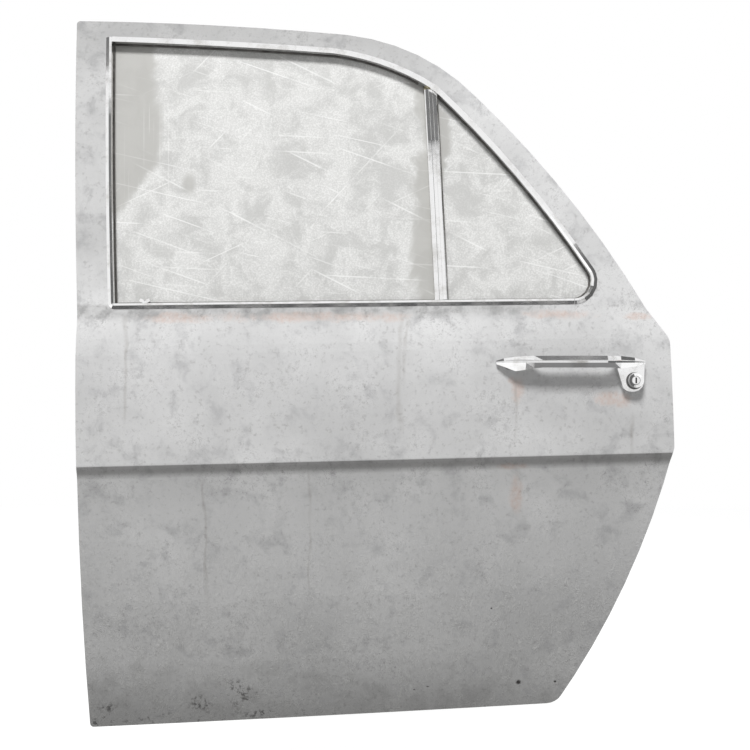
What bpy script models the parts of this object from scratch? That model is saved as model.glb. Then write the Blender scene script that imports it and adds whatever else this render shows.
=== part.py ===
"""Rear side door of a four-door saloon, with its window frame, glazing, handle, latch and regulator.

Units are metres. X runs along the car from front to rear, Y into the car and Z up.
Shapes are drawn in door coordinates: x behind the front edge, depth inward from the flank and
z above the bottom front corner. The door_frame empty then carries them all, so that the world
origin lies at the centre of the lower hinge seat.
"""

from math import asin, cos, pi, radians, sin, sqrt, tan

import bmesh
import bpy
from mathutils import Matrix, Vector

# Overall outline of the door; setbacks lie ahead of its rear edge and drops below its top
DOOR_LENGTH = 0.888
DOOR_HEIGHT = 1.100
LEAN = radians(2.5)
BOTTOM_RISE = radians(3.24)
SILL_END_SETBACK = 0.164
ARCH_BULGE = 0.0165
SHOULDER_INSET = 0.0075
PILLAR_FOOT_SETBACK = 0.0416
PILLAR_HEAD_SETBACK = 0.288
PILLAR_HEAD_DROP = 0.129
PILLAR_BULGE = 0.0125
CORNER_RADIUS = 0.005
SILL_END_RADIUS = 0.026
KINK_RADIUS = 0.024
ROOF_BEND_SETBACK = 0.488
ROOF_BEND_DROP = 0.0248
ROOF_BEND_BULGE = 0.0205
ROOF_BULGE = 0.0045

# Section of the outer skin
BELT_HEIGHT = 0.6361
BELT_RISE = radians(0.75)
BELT_DEPTH = 0.015
SHOULDER_HEIGHT = BELT_HEIGHT - 0.0473
SHOULDER_RISE = radians(1.06)
CREASE_HEIGHT = BELT_HEIGHT - 0.2252
CREASE_RISE = radians(1.41)
CREASE_CORNER_HEIGHT = CREASE_HEIGHT + 0.0301
SHOULDER_CORNER_HEIGHT = BELT_HEIGHT - 0.0341
PILLAR_FOOT_HEIGHT = BELT_HEIGHT + 0.0126
CREASE_DROP = 0.0145
CREASE_STEP = 0.0048
FLANK_CREST = 0.109
FLANK_RADIUS = 1.40
TUCK_SLOPE = 0.0758
TUCK_RADIUS = 1.96
PLAN_BOW = 0.005
WINDOW_RADIUS = 2.80
WINDOW_TILT = radians(3.4)
SHARP_ROUND = 0.003
SOFT_ROUND = 0.012

# Pressed sheet
SKIN_WALL = 0.0009
PANEL_WALL = 0.0009
GAP = 0.0003
HEM_GAP = 0.0007
HEM_WIDTH = 0.009
SHUT_INSET = 0.014
SHUT_CORNER = 0.003
PANEL_DEPTH = 0.118
FRAME_DEPTH = 0.038
LEDGE_RISE = 0.004
LEDGE_FALL = 0.040

# Window opening, along the outer edge of its bright moulding
WINDOW_FRONT = 0.0460
WINDOW_SILL = BELT_HEIGHT + 0.0109
WINDOW_SILL_RISE = radians(0.58)
WINDOW_TOP = DOOR_HEIGHT - 0.026
WINDOW_CORNER_RADIUS = 0.035
WINDOW_FRONT_RADIUS = 0.0092
SLANT_FOOT_RUN = 0.0935
SLANT_FOOT_INSET = 0.0247
SLANT_HEAD_RUN = 0.0529
SLANT_HEAD_INSET = 0.0363
WINDOW_SLANT_BULGE = 0.0092
WINDOW_BEND_START = (DOOR_LENGTH - 0.508, DOOR_HEIGHT - 0.047)
WINDOW_BEND_BULGE = 0.0100
WINDOW_TOP_BULGE = 0.0020
LIP_INSET = 0.0045
LIP_GAP = 0.0008
HOLE_LIP = 0.004

# Bright mouldings
MOULDING_WIDTH = 0.0085
MOULDING_CROWN = 0.0028
MOULDING_WALL = 0.0008
MOULDING_RETURN = 0.011
CLIP_PLACE = 0.0985
CLIP_LENGTH = 0.0165
CLIP_HEIGHT = 0.0070

# Glass, its run channels and the division bar
GLASS_INSET = 0.016
GLASS_WALL = 0.004
GLASS_PLAY = 0.001
RUN_WALL = 0.0022
RUN_MOUTH = 0.0015
RUN_DROP = BELT_HEIGHT - 0.2511
RUN_END = 0.008
GLASS_ENTRY = 0.0080
QUARTER_ENTRY = 0.0050
GLASS_END_PLAY = 0.0015
RUN_BASE = 0.0025
BAR_FOOT = DOOR_LENGTH - 0.3444
BAR_WIDTH = 0.0190
BAR_FACE = 0.0045
BAR_WALL = 0.0010
BAR_ENTRY = 0.0045
BAR_ENTRY_REST = -0.0013
BAR_RUN_BASE = 0.0022
BAR_RUN_WALL = 0.0009
BAR_TOP = DOOR_HEIGHT - 0.092
BAR_CAP_TOP = BAR_TOP - 0.021
GLASS_SKIRT = 0.030
WAIST_SEAL_HEIGHT = 0.010
WAIST_SEAL_PLAY = 0.0007

# Pull handle and push button
HANDLE_LENGTH = 0.218
HANDLE_SETBACK = 0.048
HANDLE_TIP = DOOR_LENGTH - HANDLE_SETBACK - HANDLE_LENGTH
HANDLE_HEIGHT = BELT_HEIGHT - 0.0686
HANDLE_PROUD = 0.036
GRIP_ABOVE = 0.0098
GRIP_BELOW = 0.0080
GRIP_LINE = 0.0010
HANDLE_FINGER_GAP = 0.021
PAD_WALL = 0.0012
LUG_THICKNESS = 0.013
BUTTON_BACKSET = 0.0157
BUTTON_DROP = 0.0265
BUTTON_RADIUS = 0.0115
BUTTON_PROUD = 0.007
BUTTON_TRAVEL = 0.006
BUTTON_PLAY = 0.0004
BUTTON_NECK_RADIUS = 0.0088
BUTTON_LENGTH = 0.032
KEY_RADIUS = 0.0062
KEY_SLOT = (0.0010, 0.0041)
STUD_RADIUS = 0.0030
SCREW_GAP = 0.0010

# Hinge seats, latch and inside controls
LOWER_HINGE_HEIGHT = 0.150
UPPER_HINGE_HEIGHT = BELT_HEIGHT - 0.1161
HINGE_SEAT_DEPTH = 0.078
HINGE_SEAT_WIDTH = 0.036
HINGE_SEAT_HEIGHT = 0.090
HINGE_PLATE = 0.004
HINGE_BOLT_RADIUS = 0.0042
LATCH_HEIGHT = (CREASE_CORNER_HEIGHT + SHOULDER_CORNER_HEIGHT) / 2 + 0.0035
LATCH_DEPTH = 0.048
LATCH_WIDTH = 0.056
LATCH_TALL = 0.070
LATCH_THICK = 0.018
LATCH_WALL = 0.0015
MOUTH_HEIGHT = 0.013
MOUTH_DEPTH = 0.036
CLAW_RADIUS = 0.019
CLAW_WALL = 0.005
CLAW_LIFT = 0.013
CLAW_OPEN = radians(-35)
CLAW_SLOT_FOOT = 0.0075
CLAW_REST = 0.004
MOUTH_REACH = 0.013
PIVOT_RADIUS = 0.004
PIVOT_PLAY = 0.0004
RELEASE_SETBACK = 0.288
RELEASE_ARM = 0.020
RELEASE_GRIP = 0.075
ROD_RADIUS = 0.0025
ROD_PLAY = 0.0010
KNOB_PLACE = (DOOR_LENGTH - 0.082, 0.084)
KNOB_RADIUS = 0.0055
KNOB_TRAVEL = 0.012

# Access holes of the inner panel
FRONT_HOLE = (0.070, 0.250)
REAR_HOLE = (DOOR_LENGTH - 0.443, DOOR_LENGTH - 0.198, DOOR_LENGTH - 0.143)
LATCH_HOLE = (DOOR_LENGTH - 0.198, DOOR_LENGTH - 0.058)
HOLE_FOOT = 0.110
FRONT_HOLE_TOP = BELT_HEIGHT - 0.2361
REAR_HOLE_TOP = BELT_HEIGHT - 0.3361
LATCH_HOLE_FOOT = LATCH_HEIGHT - 0.135
LATCH_HOLE_TOP = LATCH_HEIGHT - 0.045
HOLE_RADIUS = 0.035
LATCH_HOLE_RADIUS = 0.025
SPINDLE_PLAY = 0.005

# Window regulator
RAIL_PLACE = 0.300
RAIL_SHIFT = 0.070
RAIL_WIDTH = 0.030
RAIL_WALL = 0.0015
RAIL_LIP = 0.010
RAIL_TOP = -0.088
RAIL_BOTTOM = 0.1401 - BELT_HEIGHT
LIFT_LENGTH = 0.140
SLIDER_TOP = -0.092
SLIDER_LENGTH = 0.040
SLIDER_RISE = 0.008
SLIDER_PLAY = 0.0009
PULLEY_RADIUS = 0.018
PULLEY_WIDTH = 0.008
CABLE_RADIUS = 0.0010
CABLE_RUN = 0.0193
DRUM_PLACE = (RAIL_PLACE + 0.092, BELT_HEIGHT - 0.2411)
DRUM_RADIUS = 0.0225
DRUM_WIDTH = 0.014
DRUM_SETBACK = 0.023
SPINDLE_RADIUS = 0.006
WINDER_STAND = 0.004
CRANK_LENGTH = 0.105
CRANK_TURN = radians(215)

CLOSE_POINTS = 0.0015
ROUND = 20
SMALL_ROUND = 12


def clear_scene():
    """Removes every object that the file holds."""
    for item in list(bpy.data.objects):
        bpy.data.objects.remove(item, do_unlink=True)


def material(name, colour, roughness, metallic=0.0):
    """Makes a plain Principled material."""
    made = bpy.data.materials.new(name)
    made.use_nodes = True
    shader = made.node_tree.nodes["Principled BSDF"]
    shader.inputs["Base Color"].default_value = (*colour, 1.0)
    shader.inputs["Roughness"].default_value = roughness
    shader.inputs["Metallic"].default_value = metallic
    return made


def chrome(name):
    return material(name, (0.78, 0.78, 0.78), 0.12, 1.0)


def plated(name):
    return material(name, (0.55, 0.54, 0.50), 0.38, 1.0)


def bare_steel(name):
    return material(name, (0.42, 0.42, 0.41), 0.45, 0.9)


def black_rubber(name):
    return material(name, (0.035, 0.035, 0.035), 0.75)


def aged_paint(name, shade):
    return material(name, (shade, shade, shade * 0.98), 0.6)


# Plane geometry in (x, z)

def arc(start, bulge, end, steps):
    """Points from start to end along an arc that bulges to the right of that direction."""
    start, end = Vector(start), Vector(end)
    half = (end - start) / 2
    reach = half.length
    radius = (reach * reach + bulge * bulge) / (2 * bulge)
    side = Vector((half.y, -half.x)).normalized()
    centre = start + half - side * (radius - bulge)
    sweep = asin(reach / radius)
    along = half.normalized()
    angles = [sweep * (2 * i / steps - 1) for i in range(steps + 1)]
    return [centre + side * (radius * cos(a)) + along * (radius * sin(a)) for a in angles]


def fillet(before, corner, after, radius, steps):
    """Points of the arc that rounds a corner between two straight sides."""
    before, corner, after = Vector(before), Vector(corner), Vector(after)
    back = (before - corner).normalized()
    ahead = (after - corner).normalized()
    half = back.angle(ahead) / 2
    centre = corner + (back + ahead).normalized() * (radius / sin(half))
    first = corner + back * (radius / tan(half)) - centre
    last = corner + ahead * (radius / tan(half)) - centre
    return [centre + first.lerp(last, i / steps).normalized() * radius for i in range(steps + 1)]


def rounded(corners, radius, steps=3):
    """A closed outline whose corners are all rounded alike."""
    points = []
    for i, corner in enumerate(corners):
        points += fillet(corners[i - 1], corner, corners[(i + 1) % len(corners)], radius, steps)
    return points


def circle(centre, radius, count):
    turn = 2 * pi / count
    return [Vector((centre[0] + radius * cos(turn * i), centre[1] + radius * sin(turn * i)))
            for i in range(count)]


def mitre(before, here, after):
    """Unit-wide mitre on the right-hand side of a path."""
    first = (here - before).normalized()
    second = (after - here).normalized()
    one = Vector((first.y, -first.x))
    two = Vector((second.y, -second.x))
    return (one + two) / (1 + one.dot(two))


def offset_loop(points, distance):
    """Closed outline moved sideways; a counter-clockwise one grows with distance."""
    count = len(points)
    return [point + mitre(points[i - 1], point, points[(i + 1) % count]) * distance
            for i, point in enumerate(points)]


def offset_path(points, distance):
    """Open path moved to its right-hand side."""
    padded = [points[0] * 2 - points[1], *points, points[-1] * 2 - points[-2]]
    return [point + mitre(padded[i], point, padded[i + 2]) * distance
            for i, point in enumerate(points)]


def clip(points, side):
    """The part of a closed outline where side(point) is positive, cut along a straight line."""
    kept = []
    for i, point in enumerate(points):
        before = points[i - 1]
        here, last = side(point), side(before)
        if here * last < 0:
            kept.append(before.lerp(point, last / (last - here)))
        if here >= 0:
            kept.append(point)
    return kept


def divide(outline, lines):
    """A closed outline with an added point wherever a line crosses it."""
    points = []
    for i, point in enumerate(outline):
        before = outline[i - 1]
        for share in sorted(crossings(before, point, lines)):
            points.append(before.lerp(point, share))
        points.append(point)
    return points


def crossings(one, two, lines):
    shares = []
    for point, normal in lines:
        first = (one.x - point.x) * normal.x + (one.y - point.z) * normal.z
        last = (two.x - point.x) * normal.x + (two.y - point.z) * normal.z
        if first * last < 0 and min(abs(first), abs(last)) > CLOSE_POINTS:
            shares.append(first / (first - last))
    return shares


# The form of the door

def belt(x):
    return BELT_HEIGHT + x * tan(BELT_RISE)


def shoulder(x):
    return SHOULDER_HEIGHT + x * tan(SHOULDER_RISE)


def crease(x):
    return CREASE_HEIGHT + x * tan(CREASE_RISE)


def travel_height(x, z):
    """Height above the belt, measured along the leaning way that the glass slides."""
    return (z - BELT_HEIGHT) * cos(LEAN) - x * sin(LEAN)


def window_depth(x, z):
    """Depth of the curved window plane, which carries on below the belt."""
    rise = sin(WINDOW_TILT) + travel_height(x, z) / WINDOW_RADIUS
    return BELT_DEPTH + WINDOW_RADIUS * (cos(WINDOW_TILT) - sqrt(1 - rise * rise))


def flank_depth(x, z):
    return (z - crease(x) - FLANK_CREST) ** 2 / (2 * FLANK_RADIUS)


def sharp_section(x, z):
    """Depth of the skin before its creases are rounded."""
    if z >= belt(x):
        return window_depth(x, z)
    if z >= shoulder(x):
        share = (z - shoulder(x)) / (belt(x) - shoulder(x))
        low = flank_depth(x, shoulder(x))
        return low + (window_depth(x, belt(x)) - low) * share
    if z >= crease(x):
        return flank_depth(x, z)
    below = crease(x) - z
    step = flank_depth(x, crease(x)) + CREASE_STEP * min(below / CREASE_DROP, 1)
    under = max(below - CREASE_DROP, 0)
    return step + TUCK_SLOPE * under + under * under / (2 * TUCK_RADIUS)


def skin_depth(x, z):
    """Depth of the outer surface, with rounded creases and a slight bow in plan."""
    near_shoulder = abs(z - shoulder(x)) < 2 * SOFT_ROUND
    reach = SOFT_ROUND if near_shoulder else SHARP_ROUND
    samples = [sharp_section(x, z + reach * k) for k in (-1, 0, 0, 1)]
    fade = min(max((belt(x) - z) / (BELT_HEIGHT - SHOULDER_HEIGHT), 0), 1)
    across = 2 * x / DOOR_LENGTH - 1
    return sum(samples) / 4 + PLAN_BOW * fade * across * across


def panel_depth(x, z):
    """Depth of the inner panel: window frame, sloping waist ledge and lower face."""
    top = BELT_HEIGHT + LEDGE_RISE
    frame = window_depth(x, max(z, top)) + FRAME_DEPTH
    share = min(max((top - z) / LEDGE_FALL, 0), 1)
    return frame + (max(PANEL_DEPTH, frame) - frame) * share


def pillar_foot():
    return Vector((DOOR_LENGTH - PILLAR_FOOT_SETBACK, PILLAR_FOOT_HEIGHT))


def pillar_head():
    return Vector((DOOR_LENGTH - PILLAR_HEAD_SETBACK, DOOR_HEIGHT - PILLAR_HEAD_DROP))


def beside_pillar(start, run, inset):
    """A place in front of the sloping pillar, run further up it from one of its ends."""
    way = (pillar_head() - pillar_foot()).normalized()
    return start + way * run + Vector((-way.y, way.x)) * inset


def slant_foot():
    return beside_pillar(pillar_foot(), SLANT_FOOT_RUN, SLANT_FOOT_INSET)


def slant_head():
    return beside_pillar(pillar_head(), SLANT_HEAD_RUN, SLANT_HEAD_INSET)


def door_outline(inset=0.0):
    """Silhouette of the closed skin, counter-clockwise, or a line that lies inside it."""
    front = Vector((0, 0))
    sill_length = DOOR_LENGTH - SILL_END_SETBACK
    sill_end = Vector((sill_length, sill_length * tan(BOTTOM_RISE)))
    crease_end = Vector((DOOR_LENGTH, CREASE_CORNER_HEIGHT))
    shoulder_end = Vector((DOOR_LENGTH - SHOULDER_INSET, SHOULDER_CORNER_HEIGHT))
    roof_start = (DOOR_LENGTH - ROOF_BEND_SETBACK, DOOR_HEIGHT - ROOF_BEND_DROP)
    top_front = Vector((-(DOOR_HEIGHT - BELT_HEIGHT) * tan(LEAN), DOOR_HEIGHT))
    belt_front = Vector((0, BELT_HEIGHT + SHARP_ROUND))
    wheel = arc(sill_end, ARCH_BULGE, crease_end, 8)
    pillar = arc(pillar_foot(), PILLAR_BULGE, pillar_head(), 7)
    bend = arc(pillar_head(), ROOF_BEND_BULGE, roof_start, 6)
    roof = arc(roof_start, ROOF_BULGE, top_front, 6)
    outline = fillet(belt_front, front, sill_end, CORNER_RADIUS + inset, 3)
    outline += fillet(front, sill_end, wheel[1], SILL_END_RADIUS, 4)
    outline += wheel[1:-1]
    outline += fillet(wheel[-2], crease_end, shoulder_end, KINK_RADIUS + inset, 3)
    outline += fillet(crease_end, shoulder_end, pillar[0], KINK_RADIUS + inset, 3)
    outline += fillet(shoulder_end, pillar[0], pillar[1], KINK_RADIUS + inset, 2)
    outline += pillar[1:] + bend[1:] + roof[1:-1]
    outline += fillet(roof[-2], top_front, belt_front, CORNER_RADIUS + inset, 3)
    outline.append(belt_front)
    return offset_loop(outline, -inset)


def window_front(z):
    """Line of the front edge of the window opening."""
    return WINDOW_FRONT - (z - WINDOW_SILL) * tan(LEAN)


def window_outline():
    """Outer edge of the window mouldings, counter-clockwise from the lower front corner."""
    front = Vector((window_front(WINDOW_SILL), WINDOW_SILL))
    foot, head = slant_foot(), slant_head()
    bend_start = Vector(WINDOW_BEND_START)
    top_front = Vector((window_front(WINDOW_TOP), WINDOW_TOP))
    slant = arc(foot, WINDOW_SLANT_BULGE, head, 8)
    bend = arc(head, WINDOW_BEND_BULGE, bend_start, 7)
    top = arc(bend_start, WINDOW_TOP_BULGE, top_front, 6)
    down = (slant[0] - slant[1]).normalized()
    rise = tan(WINDOW_SILL_RISE)
    fall = (foot.y - WINDOW_SILL - foot.x * rise) / (-down.y + down.x * rise)
    corner = foot + down * fall
    outline = fillet(top_front, front, corner, WINDOW_FRONT_RADIUS, 3)
    outline += fillet(front, corner, foot, WINDOW_CORNER_RADIUS, 9)
    outline += slant[1:] + bend[1:] + top[1:]
    return divide(outline, window_lines())


def window_lines():
    """Lines that divide whatever follows the curve of the window."""
    lines = [sloping(h, LEAN) for h in spread(BELT_HEIGHT, DOOR_HEIGHT, 7)[1:-1]]
    return lines + [upright(x) for x in spread(0, DOOR_LENGTH, 7)[1:-1]]


def bar_line(z):
    """Middle of the division bar, which leans with the front of the window."""
    return BAR_FOOT - (z - WINDOW_SILL) * tan(LEAN)


def sloping(height, rise=0.0):
    """A line across the door, as a point on it and its normal."""
    return Vector((0, 0, height)), Vector((-sin(rise), 0, cos(rise)))


def upright(x):
    return Vector((x, 0, 0)), Vector((1, 0, 0))


def spread(first, last, count):
    return [first + (last - first) * i / (count - 1) for i in range(count)]


# Building solids

def place(name, mesh, finish, parent, origin=(0, 0, 0), angle=35):
    """Puts a finished mesh into the scene under its parent."""
    mesh.transform(Matrix.Translation(-Vector(origin)))
    mesh.shade_smooth()
    mesh.set_sharp_from_angle(angle=radians(angle))
    mesh.materials.append(finish)
    item = bpy.data.objects.new(name, mesh)
    item.location = origin
    item.parent = parent
    bpy.context.scene.collection.objects.link(item)
    return item


def mesh_of(name, shape):
    mesh = bpy.data.meshes.new(name)
    shape.to_mesh(mesh)
    shape.free()
    return mesh


def lofted(name, loops, cyclic=False):
    """Closed mesh through equal loops, with end caps unless it closes on itself."""
    shape = bmesh.new()
    rows = [[shape.verts.new(point) for point in loop] for loop in loops]
    pairs = list(zip(rows, rows[1:]))
    if cyclic:
        pairs.append((rows[-1], rows[0]))
    else:
        shape.faces.new(rows[0])
        shape.faces.new(rows[-1])
    for one, two in pairs:
        for i in range(len(one)):
            shape.faces.new((one[i - 1], one[i], two[i], two[i - 1]))
    bmesh.ops.recalc_face_normals(shape, faces=shape.faces[:])
    return mesh_of(name, shape)


def frame_for(direction):
    """Two unit vectors square to a direction."""
    direction = Vector(direction).normalized()
    helper = Vector((0, 0, 1)) if abs(direction.z) < 0.9 else Vector((1, 0, 0))
    side = helper.cross(direction).normalized()
    return side, direction.cross(side), direction


def ring_points(base, direction, radius, height, count):
    side, up, along = frame_for(direction)
    centre = Vector(base) + along * height
    turn = 2 * pi / count
    return [centre + side * (radius * cos(turn * i)) + up * (radius * sin(turn * i)) for i in range(count)]


def turned(name, base, direction, profile, count=ROUND, bored=False):
    """Turned mesh from (radius, height) pairs; a bored one's profile closes on itself."""
    loops = [ring_points(base, direction, radius, height, count) for radius, height in profile]
    return lofted(name, loops, bored)


def prism(name, outline, lift, start, end):
    """Straight solid between two depths; lift turns (point, depth) into a place."""
    return lofted(name, [[lift(p, start) for p in outline], [lift(p, end) for p in outline]])


def flat(point, depth):
    """A plane point at a constant depth."""
    return Vector((point[0], depth, point[1]))


def on_window(point, shift):
    """A plane point at a distance behind the window plane."""
    return Vector((point[0], window_depth(point[0], point[1]) + shift, point[1]))


def on_skin(point, shift):
    """A plane point at a distance behind the outer skin."""
    return Vector((point[0], skin_depth(point[0], point[1]) + shift, point[1]))


def swept_ring(name, outline, profile, lift):
    """Closed bead round an outline; its profile gives (outward, inward) pairs."""
    loops = [[lift(p, depth) for p in offset_loop(outline, out)] for out, depth in profile]
    return lofted(name, loops, cyclic=True)


def swept_path(name, path, profile, lift):
    """Bead along an open path, capped at both ends."""
    sides = [[lift(p, depth) for p in offset_path(path, out)] for out, depth in profile]
    loops = [[side[i] for side in sides] for i in range(len(path))]
    return lofted(name, loops)


def cutter(name, mesh, parent):
    tool = place(name, mesh, bpy.data.materials["cutter"], parent)
    tool.hide_render = True
    tool.display_type = "WIRE"
    return tool


def cut(target, tool, operation="DIFFERENCE"):
    step = target.modifiers.new(tool.name, "BOOLEAN")
    step.operation = operation
    step.object = tool
    step.solver = "EXACT"


# Pressed panels

def panel_cells(outline, holes, lines):
    """Flat sheet in the XZ plane, divided along the given lines."""
    shape = bmesh.new()
    for loop in (outline, *holes):
        corners = [shape.verts.new((p.x, 0, p.y)) for p in loop]
        for i, corner in enumerate(corners):
            shape.edges.new((corners[i - 1], corner))
    bmesh.ops.triangle_fill(shape, use_beauty=True, edges=shape.edges[:], normal=(0, -1, 0))
    for point, normal in lines:
        every = shape.verts[:] + shape.edges[:] + shape.faces[:]
        bmesh.ops.bisect_plane(shape, geom=every, dist=1e-5, plane_co=point, plane_no=normal)
    spare = [edge for edge in shape.edges if not edge.is_boundary and not on_line(edge, lines)]
    bmesh.ops.dissolve_edges(shape, edges=spare, use_verts=False)
    for face in shape.faces:
        face.normal_update()
        if face.normal.y > 0:
            face.normal_flip()
    many = [face for face in shape.faces if len(face.verts) > 4]
    bmesh.ops.triangulate(shape, faces=many, ngon_method="BEAUTY")
    return shape


def on_line(edge, lines):
    one, two = edge.verts
    for point, normal in lines:
        if abs((one.co - point).dot(normal)) < 2e-5 and abs((two.co - point).dot(normal)) < 2e-5:
            return True
    return False


def border_loops(shape):
    """Ordered border vertices, with the sheet on their left as seen from outside."""
    following = {}
    for edge in shape.edges:
        if edge.is_boundary:
            corner = edge.link_loops[0]
            following[corner.vert] = corner.link_loop_next.vert
    loops = []
    while following:
        start = next(iter(following))
        loop = [start]
        step = following.pop(start)
        while step is not start:
            loop.append(step)
            step = following.pop(step)
        loops.append(loop)
    return loops


def add_flange(shape, border, steps):
    """Turns a flange on a border; steps hold (sideways distance, depth function)."""
    base = [Vector((v.co.x, v.co.z)) for v in border]
    last = border
    for distance, depth in steps:
        points = offset_loop(base, distance)
        row = [shape.verts.new((p.x, depth(p.x, p.y), p.y)) for p in points]
        for i in range(len(row)):
            shape.faces.new((last[i], last[i - 1], row[i - 1], row[i]))
        last = row


def loop_reach(border):
    return max(v.co.x for v in border) - min(v.co.x for v in border)


def thicken(item, wall):
    sheet = item.modifiers.new("wall", "SOLIDIFY")
    sheet.thickness = wall
    sheet.offset = -1
    sheet.use_even_offset = True


def skin_lines():
    """Lines that follow the creases and the curved parts of the skin."""
    lines = [sloping(BELT_HEIGHT + k * SHARP_ROUND, BELT_RISE) for k in (-1, 1)]
    lines += [sloping(SHOULDER_HEIGHT + k * SOFT_ROUND, SHOULDER_RISE) for k in (-1, 0, 1)]
    for fold in (CREASE_HEIGHT, CREASE_HEIGHT - CREASE_DROP):
        lines += [sloping(fold + k * SHARP_ROUND, CREASE_RISE) for k in (-1, 1)]
    lines += [sloping(h, CREASE_RISE) for h in spread(CREASE_HEIGHT, SHOULDER_HEIGHT, 4)[1:-1]]
    lines += [sloping(h, BOTTOM_RISE * 0.8) for h in spread(0, CREASE_HEIGHT - CREASE_DROP, 5)[1:-1]]
    return lines + window_lines()


def kink_lines():
    """Closer lines for the borders where the shoulder meets the rear edge."""
    heights = spread(SHOULDER_CORNER_HEIGHT - 0.030, PILLAR_FOOT_HEIGHT + 0.010, 7)
    return [sloping(height) for height in heights]


def make_outer_skin(door):
    """Skin pressing with its crease, window lip and hem."""
    window_lip = offset_loop(window_outline(), -LIP_INSET)
    holes = [window_lip, circle(button_centre(), BUTTON_NECK_RADIUS + 0.0007, SMALL_ROUND)]
    holes += [circle(place_, STUD_RADIUS + 0.0010, 8) for place_ in stud_places()]
    outline = divide(door_outline(), kink_lines())
    shape = panel_cells(outline, [list(reversed(h)) for h in holes], skin_lines())
    for vertex in shape.verts:
        vertex.co.y = skin_depth(vertex.co.x, vertex.co.z)
    borders = sorted(border_loops(shape), key=loop_reach)
    hem = SKIN_WALL * 2 + PANEL_WALL + 2 * HEM_GAP
    lip_end = GLASS_INSET - GLASS_PLAY - RUN_WALL - LIP_GAP
    add_flange(shape, borders[-1], [(0, lambda x, z: skin_depth(x, z) + hem),
                                    (-HEM_WIDTH, lambda x, z: skin_depth(x, z) + hem)])
    add_flange(shape, borders[-2], [(0, lambda x, z: window_depth(x, z) + lip_end)])
    item = place("outer_skin", mesh_of("outer_skin", shape), aged_paint("door_paint", 0.62), door)
    thicken(item, SKIN_WALL)
    return item


def button_centre():
    return Vector((HANDLE_TIP + HANDLE_LENGTH - BUTTON_BACKSET, HANDLE_HEIGHT - BUTTON_DROP))


def stud_places():
    return [Vector((HANDLE_TIP + 0.030, HANDLE_HEIGHT - 0.003)),
            Vector((HANDLE_TIP + HANDLE_LENGTH - 0.030, HANDLE_HEIGHT - 0.001))]


def panel_holes():
    """Access and working holes in the lower face of the inner panel."""
    foot = HOLE_FOOT
    front = [(FRONT_HOLE[0], foot), (FRONT_HOLE[1], foot),
             (FRONT_HOLE[1], FRONT_HOLE_TOP), (FRONT_HOLE[0], FRONT_HOLE_TOP)]
    rear = [(REAR_HOLE[0], foot), (REAR_HOLE[1], foot),
            (REAR_HOLE[2], REAR_HOLE_TOP), (REAR_HOLE[0], REAR_HOLE_TOP)]
    latch = box_outline(*LATCH_HOLE, LATCH_HOLE_FOOT, LATCH_HOLE_TOP)
    holes = [rounded([Vector(p) for p in corners], HOLE_RADIUS) for corners in (front, rear)]
    holes.append(rounded(latch, LATCH_HOLE_RADIUS))
    for centre in (DRUM_PLACE, release_place()):
        holes.append(circle(centre, SPINDLE_RADIUS + SPINDLE_PLAY, SMALL_ROUND))
    return holes


def make_inner_panel(door):
    """Inner pressing: shut faces, hem flange, waist ledge, frame and access holes."""
    outline = divide(door_outline(SHUT_INSET + SHUT_CORNER), skin_lines() + kink_lines())
    window_lip = offset_loop(window_outline(), -LIP_INSET)
    holes = [window_lip, *panel_holes()]
    lines = [sloping(h, LEAN) for h in spread(BELT_HEIGHT + 0.05, DOOR_HEIGHT, 7)[:-1]]
    lines += [sloping(BELT_HEIGHT + LEDGE_RISE - fall) for fall in (0, LEDGE_FALL)]
    lines += [upright(x) for x in spread(0, DOOR_LENGTH, 5)[1:-1]]
    shape = panel_cells(outline, [list(reversed(h)) for h in holes], lines)
    for vertex in shape.verts:
        vertex.co.y = panel_depth(vertex.co.x, vertex.co.z)
    borders = sorted(border_loops(shape), key=loop_reach)
    seat = SKIN_WALL + HEM_GAP + PANEL_WALL
    edge = SHUT_INSET + SHUT_CORNER
    hem_gap = SKIN_WALL + HEM_GAP
    add_flange(shape, borders[-1], [
        (SHUT_CORNER, lambda x, z: panel_depth(x, z) - SHUT_CORNER),
        (SHUT_CORNER, lambda x, z: skin_depth(x, z) + seat + SHUT_CORNER),
        (SHUT_CORNER + 0.002, lambda x, z: skin_depth(x, z) + seat),
        (edge - hem_gap, lambda x, z: skin_depth(x, z) + seat)])
    inner_lip = GLASS_INSET + GLASS_WALL + GLASS_PLAY + RUN_WALL + LIP_GAP
    add_flange(shape, borders[-2], [(0, lambda x, z: window_depth(x, z) + inner_lip)])
    for border in borders[:-2]:
        add_flange(shape, border, [(0, lambda x, z: panel_depth(x, z) - HOLE_LIP)])
    bmesh.ops.reverse_faces(shape, faces=shape.faces[:])
    item = place("inner_panel", mesh_of("inner_panel", shape), aged_paint("panel_paint", 0.5), door)
    thicken(item, PANEL_WALL)
    return item


def split_path(outline, first, last):
    """Part of a closed outline from the point nearest to first to the one nearest to last."""
    count = len(outline)
    start = min(range(count), key=lambda i: (outline[i] - Vector(first)).length)
    end = min(range(count), key=lambda i: (outline[i] - Vector(last)).length)
    return [outline[(start + i) % count] for i in range((end - start) % count + 1)]


def sight_line():
    """Inner edge of the window mouldings."""
    return offset_loop(window_outline(), -MOULDING_WIDTH)


def moulding_profile():
    """Crowned strip with an inner return, as (outward, inward) pairs from the sight line."""
    wide, crown, wall = MOULDING_WIDTH, -MOULDING_CROWN, MOULDING_WALL
    return [(0, MOULDING_RETURN), (0, crown * 0.4), (wide * 0.4, crown), (wide, crown * 0.3),
            (wide, -GAP), (wide - wall, -GAP), (wide * 0.4, crown + wall),
            (wall, crown * 0.4 + wall), (wall, MOULDING_RETURN)]


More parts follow.
